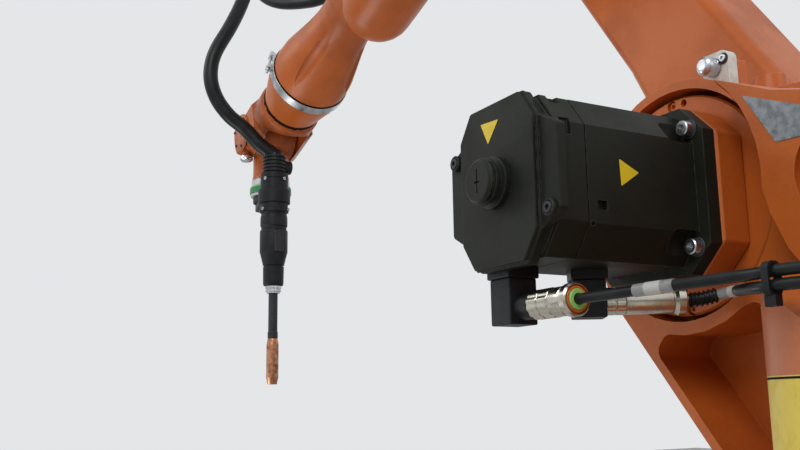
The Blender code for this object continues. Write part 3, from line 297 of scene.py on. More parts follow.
finishes = {
    # polyester powder on cast aluminium: semi-gloss, slightly pebbled, soiled by oil mist
    "orangePowder": coatedMetal("polyester powder on casting", {
        "colour": "BE6124", "soiled": "AB541E", "speck": "703615", "edge": "CF8346", "patchMm": 85, "speckMm": 9,
        "grainMm": 4, "speckShare": 0.25, "edgeMm": 1.6, "edgeShare": 0.55, "roughness": 0.40, "bump": 0.35,
        "coat": 0.1, "specular": 0.3}),
    # the same powder on the wrist: spatter dust and dirt, and pale edges that are partly paint rubbed off by the hose
    # and partly a painted highlight
    "orangeWornLitEdges": coatedMetal("worn powder on wrist casting", {
        "colour": "B45B24", "soiled": "93481C", "speck": "4E2812", "edge": "D2A184", "patchMm": 30, "speckMm": 7,
        "grainMm": 4, "speckShare": 0.7, "edgeMm": 2.4, "edgeShare": 0.85, "roughness": 0.40, "bump": 0.4,
        "coat": 0.1, "specular": 0.3}),
    # matt two-part paint on the servo motor: greenish black, with pale dust specks
    "motorPaint": coatedMetal("matt paint on servo motor", {
        "colour": "1F211B", "soiled": "191B15", "speck": "303229", "edge": "5A5C53", "patchMm": 60, "speckMm": 6,
        "grainMm": 1.5, "speckShare": 0.35, "edgeMm": 1.0, "edgeShare": 0.6, "roughness": 0.50, "bump": 0.2,
        "coat": 0.0, "specular": 0.16}),
    "darkPaint": coatedMetal("dark enamel on steel", {
        "colour": "35363A", "soiled": "2A2B2D", "speck": "55565A", "edge": "77787C", "patchMm": 40, "speckMm": 5,
        "grainMm": 3, "speckShare": 0.3, "edgeMm": 0.8, "edgeShare": 0.6, "roughness": 0.42, "bump": 0.25,
        "coat": 0.0, "specular": 0.2}),
    "paleCasting": coatedMetal("pale lacquer on cast block", {
        "colour": "D6D4CC", "soiled": "B9B6AB", "speck": "8D8A80", "edge": "EDECE6", "patchMm": 18, "speckMm": 3,
        "grainMm": 1.5, "speckShare": 0.4, "edgeMm": 0.8, "edgeShare": 0.5, "roughness": 0.40, "bump": 0.3,
        "coat": 0.2, "specular": 0.5}),
    # zinc plating: bluish white metal with a cloudy film
    "zincPlate": bareMetal("zinc plated steel", {
        "colour": "C9CCD0", "dull": "8F9296", "patchMm": 12, "markMm": 0.8, "stretch": (1, 1, 1), "dullShare": 0.7,
        "roughness": 0.24, "roughnessSpread": 0.18, "bump": 0.05}),
    "brightChrome": bareMetal("chrome plated cap", {
        "colour": "E2E4E8", "dull": "B9BCC2", "patchMm": 14, "markMm": 1.0, "stretch": (1, 1, 1), "dullShare": 0.4,
        "roughness": 0.08, "roughnessSpread": 0.12, "bump": 0.05}),
    "nickelSleeve": bareMetal("nickel plated brass", {
        "colour": "C6C1B4", "dull": "8B867A", "patchMm": 10, "markMm": 0.6, "stretch": (1, 1, 1), "dullShare": 0.5,
        "roughness": 0.18, "roughnessSpread": 0.15, "bump": 0.03}),
    "agedCopper": bareMetal("heat stained copper", {
        "colour": "B98262", "dull": "5B4237", "patchMm": 9, "markMm": 0.7, "stretch": (1, 1, 1), "dullShare": 0.9,
        "roughness": 0.30, "roughnessSpread": 0.25, "bump": 0.2}),
    "foilPlate": bareMetal("brushed aluminium foil", {
        "colour": "8C9094", "dull": "5C6266", "patchMm": 9, "markMm": 0.9, "stretch": (1, 1, 14), "dullShare": 0.8,
        "roughness": 0.34, "roughnessSpread": 0.2, "bump": 0.3}),
    # glass filled polyamide: charcoal, low sheen
    "blackPolyamide": polymer("glass filled polyamide", {
        "colour": "1B1C1F", "dust": "2F3135", "patchMm": 14, "grainMm": 1.2, "dustShare": 0.6, "roughness": 0.46,
        "bump": 0.25, "specular": 0.2}),
    "hoseRubber": polymer("extruded hose rubber", {
        "colour": "191B1C", "dust": "2E3134", "patchMm": 35, "grainMm": 2.5, "dustShare": 0.55, "roughness": 0.34,
        "bump": 0.2, "specular": 0.22}),
    "greenFibre": polymer("green insulating fibre", {
        "colour": "2F7A52", "dust": "58937A", "patchMm": 8, "grainMm": 1.0, "dustShare": 0.4, "roughness": 0.40,
        "bump": 0.15, "specular": 0.4}),
    "limeSeal": polymer("lime sealing ring", {
        "colour": "8CC56A", "dust": "A7D58B", "patchMm": 5, "grainMm": 1.0, "dustShare": 0.3, "roughness": 0.45,
        "bump": 0.1, "specular": 0.4}),
    "yellowVinyl": polymer("yellow vinyl sticker", {
        "colour": "E2C51E", "dust": "C9A91A", "patchMm": 11, "grainMm": 1.5, "dustShare": 0.5, "roughness": 0.35,
        "bump": 0.08, "specular": 0.5}),
    "paleSleeve": polymer("clear shrink sleeve", {
        "colour": "8F9090", "dust": "6E7273", "patchMm": 7, "grainMm": 1.2, "dustShare": 0.6, "roughness": 0.25,
        "bump": 0.1, "specular": 0.5}),
    "whiteSleeve": polymer("white printed sleeve", {
        "colour": "BDBDB8", "dust": "9C9D9A", "patchMm": 6, "grainMm": 1.0, "dustShare": 0.4, "roughness": 0.40,
        "bump": 0.08, "specular": 0.4}),
    "darkBore": polymer("unlit bore", {
        "colour": "100E0D", "dust": "1C1815", "patchMm": 8, "grainMm": 1.5, "dustShare": 0.4, "roughness": 0.7,
        "bump": 0.1, "specular": 0.1}),
}
buildStage()


# Making and placing pieces
def finishedPiece(name, shape, body, finish, replaced=(), bevel=None):
    mesh = bpy.data.meshes.new(name)
    bmesh.ops.remove_doubles(shape, verts=shape.verts, dist=0.00001)
    bmesh.ops.recalc_face_normals(shape, faces=shape.faces)
    shape.to_mesh(mesh)
    shape.free()
    mesh.materials.append(finishes[finish])
    mesh.shade_smooth()
    mesh.set_sharp_from_angle(angle=math.radians(32))
    made = bpy.data.objects.new(name, mesh)
    bpy.context.collection.objects.link(made)
    if bevel:
        softEdges(made, bevel)
    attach(made, body)
    if replaced:
        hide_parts(*replaced)
    return made


def softEdges(piece, bevel):
    edge = piece.modifiers.new("softEdges", "BEVEL")
    edge.width = bevel
    edge.segments = 3
    edge.limit_method = "ANGLE"
    edge.angle_limit = math.radians(30)
    edge.profile = 0.5
    edge.harden_normals = False
    even = piece.modifiers.new("evenShading", "WEIGHTED_NORMAL")
    even.keep_sharp = False
    even.weight = 80


def cleanCopy(node):
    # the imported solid's triangles merged back to its real faces
    shape = bmesh.new()
    shape.from_mesh(frame["nodes"][node].data)
    bmesh.ops.remove_doubles(shape, verts=shape.verts, dist=0.00001)
    bmesh.ops.dissolve_limit(shape, angle_limit=math.radians(0.6), verts=shape.verts, edges=shape.edges)
    return shape


def softenedNode(node, finish, bevel, cutters=()):
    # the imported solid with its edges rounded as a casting's or a plate's are
    shape = cleanCopy(node)
    if cutters:
        shape = carved(shape, cutters)
    made = finishedPiece(node + "Skin", shape, frame["nodes"][node]["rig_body"], finish, (node,))
    made.data.shade_smooth()
    softEdges(made, bevel)
    return made


def gathered(shapes):
    # several closed shapes in one mesh
    whole = bmesh.new()
    for shape in shapes:
        mesh = bpy.data.meshes.new("part")
        shape.to_mesh(mesh)
        shape.free()
        whole.from_mesh(mesh)
        bpy.data.meshes.remove(mesh)
    return whole


def carved(shape, cutters):
    # a shape less the cutters
    holders = []
    for part in [shape] + list(cutters):
        mesh = bpy.data.meshes.new("carve")
        bmesh.ops.remove_doubles(part, verts=part.verts, dist=0.00001)
        bmesh.ops.recalc_face_normals(part, faces=part.faces)
        part.to_mesh(mesh)
        part.free()
        holder = bpy.data.objects.new("carve", mesh)
        bpy.context.collection.objects.link(holder)
        holders.append(holder)
    for holder in holders[1:]:
        step = holders[0].modifiers.new("carve", "BOOLEAN")
        step.operation = "DIFFERENCE"
        step.solver = "EXACT"
        step.object = holder
    bpy.context.view_layer.update()
    mesh = bpy.data.meshes.new_from_object(holders[0].evaluated_get(bpy.context.evaluated_depsgraph_get()))
    result = bmesh.new()
    result.from_mesh(mesh)
    bpy.data.meshes.remove(mesh)
    for holder in holders:
        bpy.data.objects.remove(holder)
    bmesh.ops.remove_doubles(result, verts=result.verts, dist=0.00001)
    bmesh.ops.dissolve_limit(result, angle_limit=math.radians(0.5), verts=result.verts, edges=result.edges)
    return result


def placed(shape, matrix):
    bmesh.ops.transform(shape, matrix=matrix, verts=shape.verts)
    return shape


def facing(place, direction):
    # a frame whose local X looks along a direction
    turn = Vector((1, 0, 0)).rotation_difference(Vector(direction).normalized())
    return Matrix.Translation(place) @ turn.to_matrix().to_4x4()


def lathed(profile, steps=32):
    # (along, radius) points turned about local X
    shape = bmesh.new()
    verts = [shape.verts.new((along, radius, 0)) for along, radius in profile]
    edges = [shape.edges.new(pair) for pair in zip(verts, verts[1:])]
    if profile[0][1] > 0:
        edges.append(shape.edges.new((verts[-1], verts[0])))
    bmesh.ops.spin(shape, geom=verts + edges, cent=(0, 0, 0), axis=(1, 0, 0), dvec=(0, 0, 0),
                   angle=2 * math.pi, steps=steps, use_merge=True)
    bmesh.ops.remove_doubles(shape, verts=shape.verts, dist=0.00001)
    bmesh.ops.recalc_face_normals(shape, faces=shape.faces)
    return shape


def ringOf(low, high, inner, outer, round=0.0, steps=40):
    return lathed([(low, inner), (low, outer - round), (low + round, outer), (high - round, outer),
                   (high, outer - round), (high, inner)], steps)


def block(size, place=(0, 0, 0), round=0.0):
    shape = bmesh.new()
    bmesh.ops.create_cube(shape, size=1.0, matrix=Matrix.Translation(place) @ Matrix.Diagonal((*size, 1.0)))
    if round:
        bmesh.ops.bevel(shape, geom=shape.edges, offset=round, segments=2, profile=0.5, affect="EDGES", material=-1)
    return shape


def plate(outline, low, high, axis="Y", corner=0.0):
    # flat outline pushed out along an axis, its corners rounded first
    spots = {"X": lambda a, b: (low, a, b), "Y": lambda a, b: (a, low, b), "Z": lambda a, b: (a, b, low)}
    ways = {"X": (1, 0, 0), "Y": (0, 1, 0), "Z": (0, 0, 1)}
    shape = bmesh.new()
    verts = [shape.verts.new(spots[axis](a, b)) for a, b in outline]
    face = shape.faces.new(verts)
    if corner:
        bmesh.ops.bevel(shape, geom=verts, offset=corner, segments=4, profile=0.5, affect="VERTICES", material=-1)
        face = list(shape.faces)[0]
    grown = bmesh.ops.extrude_face_region(shape, geom=[face])
    tips = [item for item in grown["geom"] if isinstance(item, bmesh.types.BMVert)]
    bmesh.ops.translate(shape, verts=tips, vec=Vector(ways[axis]) * (high - low))
    bmesh.ops.recalc_face_normals(shape, faces=shape.faces)
    return shape


def octagon(halfWide, halfTall, chamfer):
    quarter = [(halfWide, halfTall - chamfer), (halfWide - chamfer, halfTall)]
    left = [(-a, b) for a, b in quarter[::-1]]
    return quarter + left + [(-a, -b) for a, b in quarter] + [(-a, -b) for a, b in left]


def capScrew(radius, height):
    # socket head screw standing on local X = 0, with its hexagon recess
    socket = radius * 0.56
    shape = lathed([(0, 0), (0, radius), (height - radius * 0.12, radius), (height, radius * 0.88), (height, socket),
                    (height * 0.45, socket), (height * 0.45, 0)], 24)
    for vert in shape.verts:
        reach = math.hypot(vert.co.y, vert.co.z)
        if abs(reach - socket) < radius * 0.02:
            angle = math.atan2(vert.co.z, vert.co.y) % (math.pi / 3) - math.pi / 6
            shrink = math.cos(math.pi / 6) / math.cos(angle)
            vert.co.y *= shrink
            vert.co.z *= shrink
    return shape


def screwsAt(name, body, finish, radius, height, places, direction, within):
    # one piece with the same screw at several places of a frame
    screws = [placed(capScrew(radius, height), within @ facing(place, direction)) for place in places]
    return finishedPiece(name, gathered(screws), body, finish)


def aroundCircle(count, radius, start=0.0, along=0.0):
    # (along, across, across) places evenly round local X
    angles = [math.radians(start + 360 * k / count) for k in range(count)]
    return [(along, radius * math.cos(a), radius * math.sin(a)) for a in angles]


# Lines and tubes of the hose and the leads
def throughPoints(points, share):
    # smooth line through the points, with the same number of steps on each stretch
    line = []
    for i in range(len(points) - 1):
        before = points[max(i - 1, 0)]
        start, end = points[i], points[i + 1]
        after = points[min(i + 2, len(points) - 1)]
        for k in range(share):
            t = k / share
            line.append(0.5 * (2 * start + (end - before) * t + (2 * before - 5 * start + 4 * end - after) * t * t
                               + (3 * start - before - 3 * end + after) * t ** 3))
    line.append(points[-1])
    return line


def evenly(line, count):
    # the same line with its points at equal steps
    lengths = [0.0]
    for start, end in zip(line, line[1:]):
        lengths.append(lengths[-1] + (end - start).length)
    points, k = [], 0
    for i in range(count):
        want = lengths[-1] * i / (count - 1)
        while k < len(line) - 2 and lengths[k + 1] < want:
            k += 1
        points.append(line[k].lerp(line[k + 1], (want - lengths[k]) / (lengths[k + 1] - lengths[k])))
    return points


def tubeAlong(name, line, radius, sides):
    # mesh tube with closed ends along a line
    curve = bpy.data.curves.new(name, "CURVE")
    curve.dimensions = "3D"
    curve.bevel_depth = radius
    curve.bevel_resolution = sides
    curve.use_fill_caps = True
    strand = curve.splines.new("POLY")
    strand.points.add(len(line) - 1)
    for point, place in zip(strand.points, line):
        point.co = (*place, 1.0)
    holder = bpy.data.objects.new(name, curve)
    bpy.context.collection.objects.link(holder)
    bpy.context.view_layer.update()
    mesh = bpy.data.meshes.new_from_object(holder.evaluated_get(bpy.context.evaluated_depsgraph_get()))
    bpy.data.objects.remove(holder)
    shape = bmesh.new()
    shape.from_mesh(mesh)
    bpy.data.meshes.remove(mesh)
    return shape


def tubePiece(name, line, radius, finish):
    shape = tubeAlong(name, line, radius, 5)
    mesh = bpy.data.meshes.new(name)
    shape.to_mesh(mesh)
    shape.free()
    mesh.materials.append(finishes[finish])
    mesh.shade_smooth()
    tube = bpy.data.objects.new(name, mesh)
    bpy.context.collection.objects.link(tube)
    return tube


softened = {
    "base_frame": ("orangePowder", 0.004), "base_connector_box": ("orangePowder", 0.002),
    "rotating_column": ("orangePowder", 0.003), "a1_motor": ("motorPaint", 0.002),
    "a2_gear_disc": ("orangePowder", 0.0012), "a2_motor_adapter": ("orangePowder", 0.0015),
    "mastering_bracket": ("paleCasting", 0.0015), "mastering_cap": ("zincPlate", 0.0015),
    "link_arm": ("orangePowder", 0.003), "link_side_cover": ("orangePowder", 0.0015),
    "arm_housing": ("orangePowder", 0.004), "a3_motor": ("motorPaint", 0.002), "a4_motor": ("motorPaint", 0.002),
    "a5_motor": ("motorPaint", 0.002), "a6_motor": ("motorPaint", 0.002), "forearm_tube": ("orangePowder", 0.0015),
    "forearm_band": ("zincPlate", 0.0008), "forearm_nose": ("orangePowder", 0.001),
    "wrist_hand": ("orangeWornLitEdges", 0.0015), "hand_side_cover": ("orangeWornLitEdges", 0.001),
    "tilt_housing": ("orangeWornLitEdges", 0.0015), "tool_flange": ("zincPlate", 0.0008),
    "torch_bracket": ("blackPolyamide", 0.0015), "hose_holder": ("darkPaint", 0.0008),
    "cable_gland": ("darkPaint", 0.0015), "cable_tie": ("blackPolyamide", 0.0004),
}
for node, (finish, bevelWidth) in softened.items():
    softenedNode(node, finish, bevelWidth)
for node, finish in {"torch_tail": "hoseRubber", "gas_nozzle": "agedCopper"}.items():
    frame["nodes"][node].material_slots[0].material = finishes[finish]
print("castings softened")

# Shoulder motor: flanged body with cut-out corners, lobed end cap, plug, screws and two blank stickers
motor = {
    "flangeLow": 0.031, "flangeHigh": 0.044, "flangeHalf": 0.0692, "flangeChamfer": 0.0225,
    "bodyHalf": 0.0585, "bodyOutline": [(0.0400, 0.0625), (0.0585, 0.0375)], "bodyEnd": 0.156,
    "seamOutline": [(0.0380, 0.0605), (0.0565, 0.0360)], "collarEnd": 0.1846,
    "lobeLow": 0.1850, "lobeHigh": 0.1935, "panelHigh": 0.1985,
    "capOutline": [(0.032, 0.067), (0.047, 0.045), (0.071, 0.032)],
    "panelOutline": [(0.033, 0.065), (0.049, 0.043)],
    "screwPlace": (0.0560, 0.0485), "screwRadius": 0.0064, "screwHigh": 0.0535,
    "recessLow": (0.0462, 0.0355), "recessEnd": 0.071,
    "lobeScrews": [(0.0612, 0.0300), (-0.0612, -0.0300)], "lobeScrewRadius": 0.0043,
    "plugRadius": 0.0165, "plugHigh": 0.216,
}


def mirroredOutline(quarter):
    # outline of four like quarters, given from the top edge to the side
    right = quarter + [(a, -b) for a, b in quarter[::-1]]
    return right + [(-a, b) for a, b in right[::-1]]


def corners(place):
    a, b = place
    return [(sx * a, sz * b) for sx in (1, -1) for sz in (1, -1)]


def shoulderMotor():
    size = motor
    reach = 0.030
    body = plate(mirroredOutline(size["bodyOutline"]), size["flangeHigh"] - 0.001, size["bodyEnd"])
    cutters = []
    a, b = size["recessLow"]
    for sx in (1, -1):
        for sz in (1, -1):
            middle = (sx * (a + reach / 2), (size["flangeHigh"] + size["recessEnd"]) / 2, sz * (b + reach / 2))
            cutters.append(block((reach, size["recessEnd"] - size["flangeHigh"], reach), middle, 0.0045))
    cutters.append(block((0.010, 0.0092, 0.0069), (-0.0585, 0.1427, -0.0235)))
    cutters.append(placed(lathed([(-0.004, 0), (-0.004, 0.0016), (0.004, 0.0016), (0.004, 0)], 16),
                          facing((-0.0585, 0.1523, -0.0379), (-1, 0, 0))))
    body = carved(body, cutters)
    flange = plate(octagon(size["flangeHalf"], size["flangeHalf"], size["flangeChamfer"]), size["flangeLow"],
                   size["flangeHigh"])
    shape = placed(gathered([body, flange]), columnFrame)
    finishedPiece("shoulderMotorBody", shape, "column", "motorPaint", ("a2_motor_body",), 0.0016)

    collar = plate(mirroredOutline(size["bodyOutline"]), size["bodyEnd"] + 0.0004, size["collarEnd"])
    notches = []
    for side in (1, -1):
        notches.append(block((0.0120, 0.0095, 0.0100), (side * 0.0420, 0.1725, 0.0615)))
        notches.append(block((0.0100, 0.0095, 0.0125), (side * 0.0590, 0.1745, 0.0345)))
    collar = carved(collar, notches)
    lobes = plate(mirroredOutline(size["capOutline"]), size["lobeLow"], size["lobeHigh"], corner=0.0022)
    rim = plate(mirroredOutline([(a + 0.0018, b + 0.0008) for a, b in size["panelOutline"]]),
                size["lobeHigh"] - 0.001, size["lobeHigh"] + 0.0018)
    panel = plate(mirroredOutline(size["panelOutline"]), size["lobeHigh"], size["panelHigh"], corner=0.0015)
    seam = plate(mirroredOutline(size["seamOutline"]), size["collarEnd"] - 0.001, size["lobeLow"] + 0.001)
    shape = placed(gathered([collar, seam, lobes, rim, panel]), columnFrame)
    finishedPiece("shoulderMotorCap", shape, "column", "motorPaint", ("a2_motor_cap",), 0.0011)

    radius = size["plugRadius"]
    face = size["plugHigh"]
    start = size["panelHigh"] + 0.0002
    plug = lathed([(start, 0), (start, radius + 0.004), (start + 0.0045, radius + 0.004), (start + 0.0058, radius),
                   (start + 0.0092, radius), (start + 0.0098, radius + 0.0024), (start + 0.0118, radius + 0.0024),
                   (start + 0.0124, radius), (start + 0.0140, radius), (start + 0.0148, radius + 0.0015),
                   (face - 0.0022, radius + 0.0015), (face - 0.0006, radius), (face, radius - 0.0015), (face, 0)], 48)
    plug = placed(plug, facing((-0.0002, 0, 0), (0, 1, 0)))
    slot = [block((0.0016, 0.004, 0.0195), (0, face, 0)), block((0.0075, 0.004, 0.0016), (0, face, -0.0008))]
    plug = placed(carved(plug, slot), columnFrame)
    finishedPiece("capPlug", plug, "column", "motorPaint", ("a2_cap_plug",), 0.0004)

    high = size["lobeHigh"]
    spots = [(a, high, b) for a, b in size["lobeScrews"]]
    seats = [placed(ringOf(-0.0002, 0.0036, 0.0050, 0.0068, 0.0008, 28), columnFrame @ facing(spot, (0, 1, 0)))
             for spot in spots]
    finishedPiece("lobeScrewSeats", gathered(seats), "column", "motorPaint")
    screwsAt("lobeScrews", "column", "darkPaint", size["lobeScrewRadius"], 0.0044, spots, (0, 1, 0), columnFrame)

    spots = [(a, size["flangeHigh"], b) for a, b in corners(size["screwPlace"])]
    tall = size["screwHigh"] - size["flangeHigh"]
    screwsAt("flangeScrews", "column", "zincPlate", size["screwRadius"], tall, spots, (0, 1, 0), columnFrame)
    washers = [placed(ringOf(0, 0.0014, 0.0040, 0.0080, 0.0003, 28), columnFrame @ facing(spot, (0, 1, 0)))
               for spot in spots]
    finishedPiece("flangeWashers", gathered(washers), "column", "darkPaint")

    capSticker = plate([(0.0174, 0.0517), (-0.0069, 0.0499), (0.0079, 0.0334)], size["panelHigh"],
                       size["panelHigh"] + 0.00035, corner=0.0008)
    sideSticker = plate([(0.1241, 0.0141), (0.1049, 0.0051), (0.1233, -0.0070)], -size["bodyHalf"] - 0.00035,
                        -size["bodyHalf"], "X", 0.0008)
    finishedPiece("blankStickers", placed(gathered([capSticker, sideSticker]), columnFrame), "column", "yellowVinyl")


shoulderMotor()

# Gear plate: sunk screws in its two pairs of holes
discSpots = [(0.0915 * math.cos(math.radians(a)), -0.0065, 0.0915 * math.sin(math.radians(a))) for a in (88, 268)]
screwsAt("gearPlateScrews", "column", "orangePowder", 0.0044, 0.0042, discSpots, (0, 1, 0), columnFrame)
print("shoulder motor built")

# Motor connectors and their leads
lead = {
    "cableRadius": 0.0038, "sleeveEnd": 0.078, "radius": 0.0115, "flare": 0.0127, "outletRadius": 0.0105,
    "footSquare": 0.0300, "stemSquare": 0.0265, "footDepth": 0.0105, "kneeDepth": 0.0135,
    "power": {"knee": (0.021, 0.170, -0.0947), "turn": 90, "start": 0.0303, "knurl": 0.0245, "exit": -0.0610},
    "signal": {"knee": (0.010, 0.103, -0.0880), "turn": 33, "start": 0.0134, "knurl": 0.0155, "exit": -0.0600},
    "tie": (-0.208, 0.150, -0.0925), "gland": (-0.320, 0.150, -0.0945), "below": 0.0086,
    "signalBend": [(-0.0476, 0.0189, -0.0850), (-0.0582, 0.0151, -0.0835), (-0.0694, 0.0162, -0.0830),
                   (-0.0788, 0.0216, -0.0830), (-0.1110, 0.0590, -0.0880), (-0.1350, 0.0920, -0.0930),
                   (-0.1560, 0.1190, -0.0970), (-0.1780, 0.1390, -0.0995)],
}


def leadWay(turn):
    return Vector((-math.sin(math.radians(turn)), -math.cos(math.radians(turn)), 0.0))


def knurled(low, high, radius, ridges):
    # ring with lengthwise ridges, two steps of the turn for each
    shape = ringOf(low, high, radius * 0.8, radius, 0.0004, ridges * 4)
    for vert in shape.verts:
        reach = math.hypot(vert.co.y, vert.co.z)
        if reach > radius * 0.9:
            step = round((math.atan2(vert.co.z, vert.co.y) % (2 * math.pi)) / (2 * math.pi) * ridges * 4)
            if step % 4 in (0, 1):
                vert.co.y *= 0.945
                vert.co.z *= 0.945
    return shape


def leadConnector(name):
    # angled socket under the motor: square foot, square knee and a round outlet along the lead
    x, y, z = lead[name]["knee"]
    top = lead[name]["exit"]
    turned = Matrix.Translation((x, y, 0)) @ Matrix.Rotation(-math.radians(lead[name]["turn"]), 4, "Z")
    low = z - lead["kneeDepth"]
    footLow = top - lead["footDepth"]
    outletEnd = lead[name]["start"] - 0.0002
    outlet = lathed([(0, 0), (0, lead["outletRadius"]), (outletEnd, lead["outletRadius"]), (outletEnd, 0)], 32)
    wide, narrow = lead["footSquare"], lead["stemSquare"]
    parts = [placed(block((wide, wide, top - footLow), (0, 0, (top + footLow) / 2)), turned),
             placed(block((narrow, narrow, footLow - low), (0, 0, (footLow + low) / 2)), turned),
             placed(outlet, facing(lead[name]["knee"], leadWay(lead[name]["turn"])))]
    return finishedPiece(name + "Connector", placed(gathered(parts), columnFrame), "column", "blackPolyamide",
                         ("a2_" + name + "_connector",), 0.0012)


def leadSleeve(name):
    # knurled coupling and smooth sleeve, with the coloured rings in its mouth
    leadConnector(name)
    knee, start, end = lead[name]["knee"], lead[name]["start"], lead["sleeveEnd"]
    radius, flare = lead["radius"], lead["flare"]
    way = leadWay(lead[name]["turn"])
    within = columnFrame @ facing(knee, way)
    first, second = start + lead[name]["knurl"] / 2, start + lead[name]["knurl"]
    third = end - 0.0115
    parts = [knurled(start, first - 0.0004, radius, 12), knurled(first + 0.0004, second, radius, 12),
             lathed([(start, 0), (start, radius - 0.0012), (second, radius - 0.0012),
                     (second + 0.0006, radius - 0.0004),
                     (third, radius - 0.0004), (third + 0.0008, radius - 0.0012), (third + 0.0018, radius - 0.0012),
                     (third + 0.0045, flare - 0.0002), (end - 0.0016, flare), (end, flare - 0.0012),
                     (end, 0.0106), (end - 0.0022, 0.0100), (end - 0.0022, 0)], 40)]
    finishedPiece(name + "Sleeve", placed(gathered(parts), within), "column", "nickelSleeve",
                  ("a2_" + name + "_sleeve",))
    amber = ringOf(end - 0.0020, end - 0.0002, 0.0078, 0.0099, 0.0005)
    finishedPiece(name + "AmberRing", placed(amber, within), "column", "orangePowder")
    green = ringOf(end - 0.0021, end + 0.0009, 0.0044, 0.0077, 0.0006)
    finishedPiece(name + "SealRing", placed(green, within), "column", "limeSeal")
    return Vector(knee) + way * end, way


def stretchOf(line, low, high):
    # part of a line from one length along it to another
    travelled, picked = 0.0, []
    for start, end in zip(line, line[1:]):
        step = (end - start).length
        if travelled + step > low and travelled < high:
            if not picked:
                picked.append(start.lerp(end, max(0.0, low - travelled) / step))
            picked.append(start.lerp(end, min(1.0, (high - travelled) / step)))
        travelled += step
    return picked


def wrapOf(name, line, low, high, radius, finish, ribs=0):
    # sleeve, tape or relief round a cable, with ribs where it bends
    part = evenly(stretchOf(line, low, high), max(16, ribs * 6 + 2))
    shape = tubeAlong(name, part, radius, 6)
    if ribs:
        steps = len(part)
        for vert in shape.verts:
            nearest = min(range(steps), key=lambda k: (part[k] - vert.co).length)
            if nearest % 6 in (0, 1, 2):
                vert.co = part[nearest].lerp(vert.co, 0.80)
    return finishedPiece(name, shape, "column", finish)


def layLead(name, route, wraps):
    # cable with its wraps
    line = [shoulder + point for point in evenly(throughPoints(route, 8), 72)]
    tube = tubePiece(name + "Lead", line, lead["cableRadius"], "hoseRubber")
    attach(tube, "column")
    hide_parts("a2_" + name + "_cable")
    pieces = [wrapOf(name + wrap, line, *values) for wrap, values in wraps.items()]


def motorLeads():
    tie, gland = Vector(lead["tie"]), Vector(lead["gland"])
    drop = Vector((0, 0, -lead["below"]))
    end, way = leadSleeve("power")
    route = [end + way * 0.0006, end + way * 0.012, end.lerp(tie, 0.45), tie + Vector((0.028, 0, 0)),
             tie + Vector((0.007, 0, 0)), tie - Vector((0.014, 0, 0)), gland + Vector((0.03, 0, 0)), gland]
    layLead("power", route, {"ClearSleeve": (0.0520, 0.0830, 0.0045, "paleSleeve"),
                                       "BlankLabel": (0.0615, 0.0740, 0.0047, "whiteSleeve")})

    end, way = leadSleeve("signal")
    route = [end + way * 0.0006, end + way * 0.009] + [Vector(spot) for spot in lead["signalBend"]]
    route += [tie + drop + Vector((0.007, 0, 0)), tie + drop - Vector((0.014, 0, 0)),
              gland + drop + Vector((0.03, 0, 0)), gland + drop]
    layLead("signal", route, {"Relief": (0.0012, 0.0250, 0.0062, "hoseRubber", 6),
                                      "ClearSleeve": (0.0262, 0.0560, 0.0045, "paleSleeve"),
                                      "BlankLabel": (0.0360, 0.0500, 0.0047, "whiteSleeve")})


# Column: blank plate, blank band, mastering screw and turret screws
column = {
    "plateCorners": [(-0.1042, 0.0640), (-0.1720, 0.0345), (-0.1545, 0.0190), (-0.1309, 0.0200)],
    "plateFace": 0.036, "plateThick": 0.0006,
    "towerRadius": 0.143, "bandLow": 0.400, "bandHigh": 0.5225, "bandFrom": 45, "bandTo": 118,
    "masteringScrew": (-0.0060, -0.062, 0.1452),
    "turretScrews": 18, "turretRadius": 0.1605, "turretHeight": 0.3085,
}


def wrappedSheet(radius, low, high, fromAngle, toAngle, thick):
    # sheet round the column's tower
    shape = bmesh.new()
    start = math.radians(fromAngle)
    spots = [(radius * math.cos(start), radius * math.sin(start), z) for z in (low, high)]
    verts = [shape.verts.new(spot) for spot in spots]
    edge = shape.edges.new(verts)
    bmesh.ops.spin(shape, geom=verts + [edge], cent=(0, 0, 0), axis=(0, 0, 1), dvec=(0, 0, 0),
                   angle=math.radians(toAngle - fromAngle), steps=28, use_merge=False)
    bmesh.ops.recalc_face_normals(shape, faces=shape.faces)
    bmesh.ops.solidify(shape, geom=shape.faces, thickness=thick)
    return shape


def columnDetails():
    face = column["plateFace"]
    blank = plate(column["plateCorners"], face, face + column["plateThick"], corner=0.0015)
    finishedPiece("blankPlate", placed(blank, columnFrame), "column", "foilPlate")
    low, high = column["bandLow"], column["bandHigh"]
    radius = column["towerRadius"] + 0.0004
    band = wrappedSheet(radius, low, high, column["bandFrom"], column["bandTo"], 0.0003)
    finishedPiece("blankBand", band, "column", "yellowVinyl")
    line = wrappedSheet(radius + 0.0002, high - 0.0022, high - 0.0008, column["bandFrom"], column["bandTo"], 0.0002)
    finishedPiece("bandLine", line, "column", "darkBore")
    spot = column["masteringScrew"]
    finishedPiece("masteringScrewSeat", placed(ringOf(-0.0002, 0.0012, 0.0038, 0.0054, 0.0004, 28),
                                               columnFrame @ facing(spot, (0, 1, 0))), "column", "darkPaint")
    screwsAt("masteringScrew", "column", "zincPlate", 0.0037, 0.0030, [spot], (0, 1, 0), columnFrame)
    spots = [(x, y, column["turretHeight"]) for _, x, y in aroundCircle(column["turretScrews"],
                                                                        column["turretRadius"], 10)]
    screwsAt("turretScrews", "column", "darkPaint", 0.0060, 0.0080, spots, (0, 0, 1), Matrix.Identity(4))


columnDetails()
motorLeads()
print("leads and column details built")

# Foot: sockets with coupling rings and pins, screws of the connector box
foot = {"panelRear": -0.2443, "socketSpread": 0.045, "socketHeight": 0.100, "socketRadius": 0.021,
        "socketEnd": -0.2723, "boxScrews": [(-0.090, 0.066), (0.090, 0.066)]}


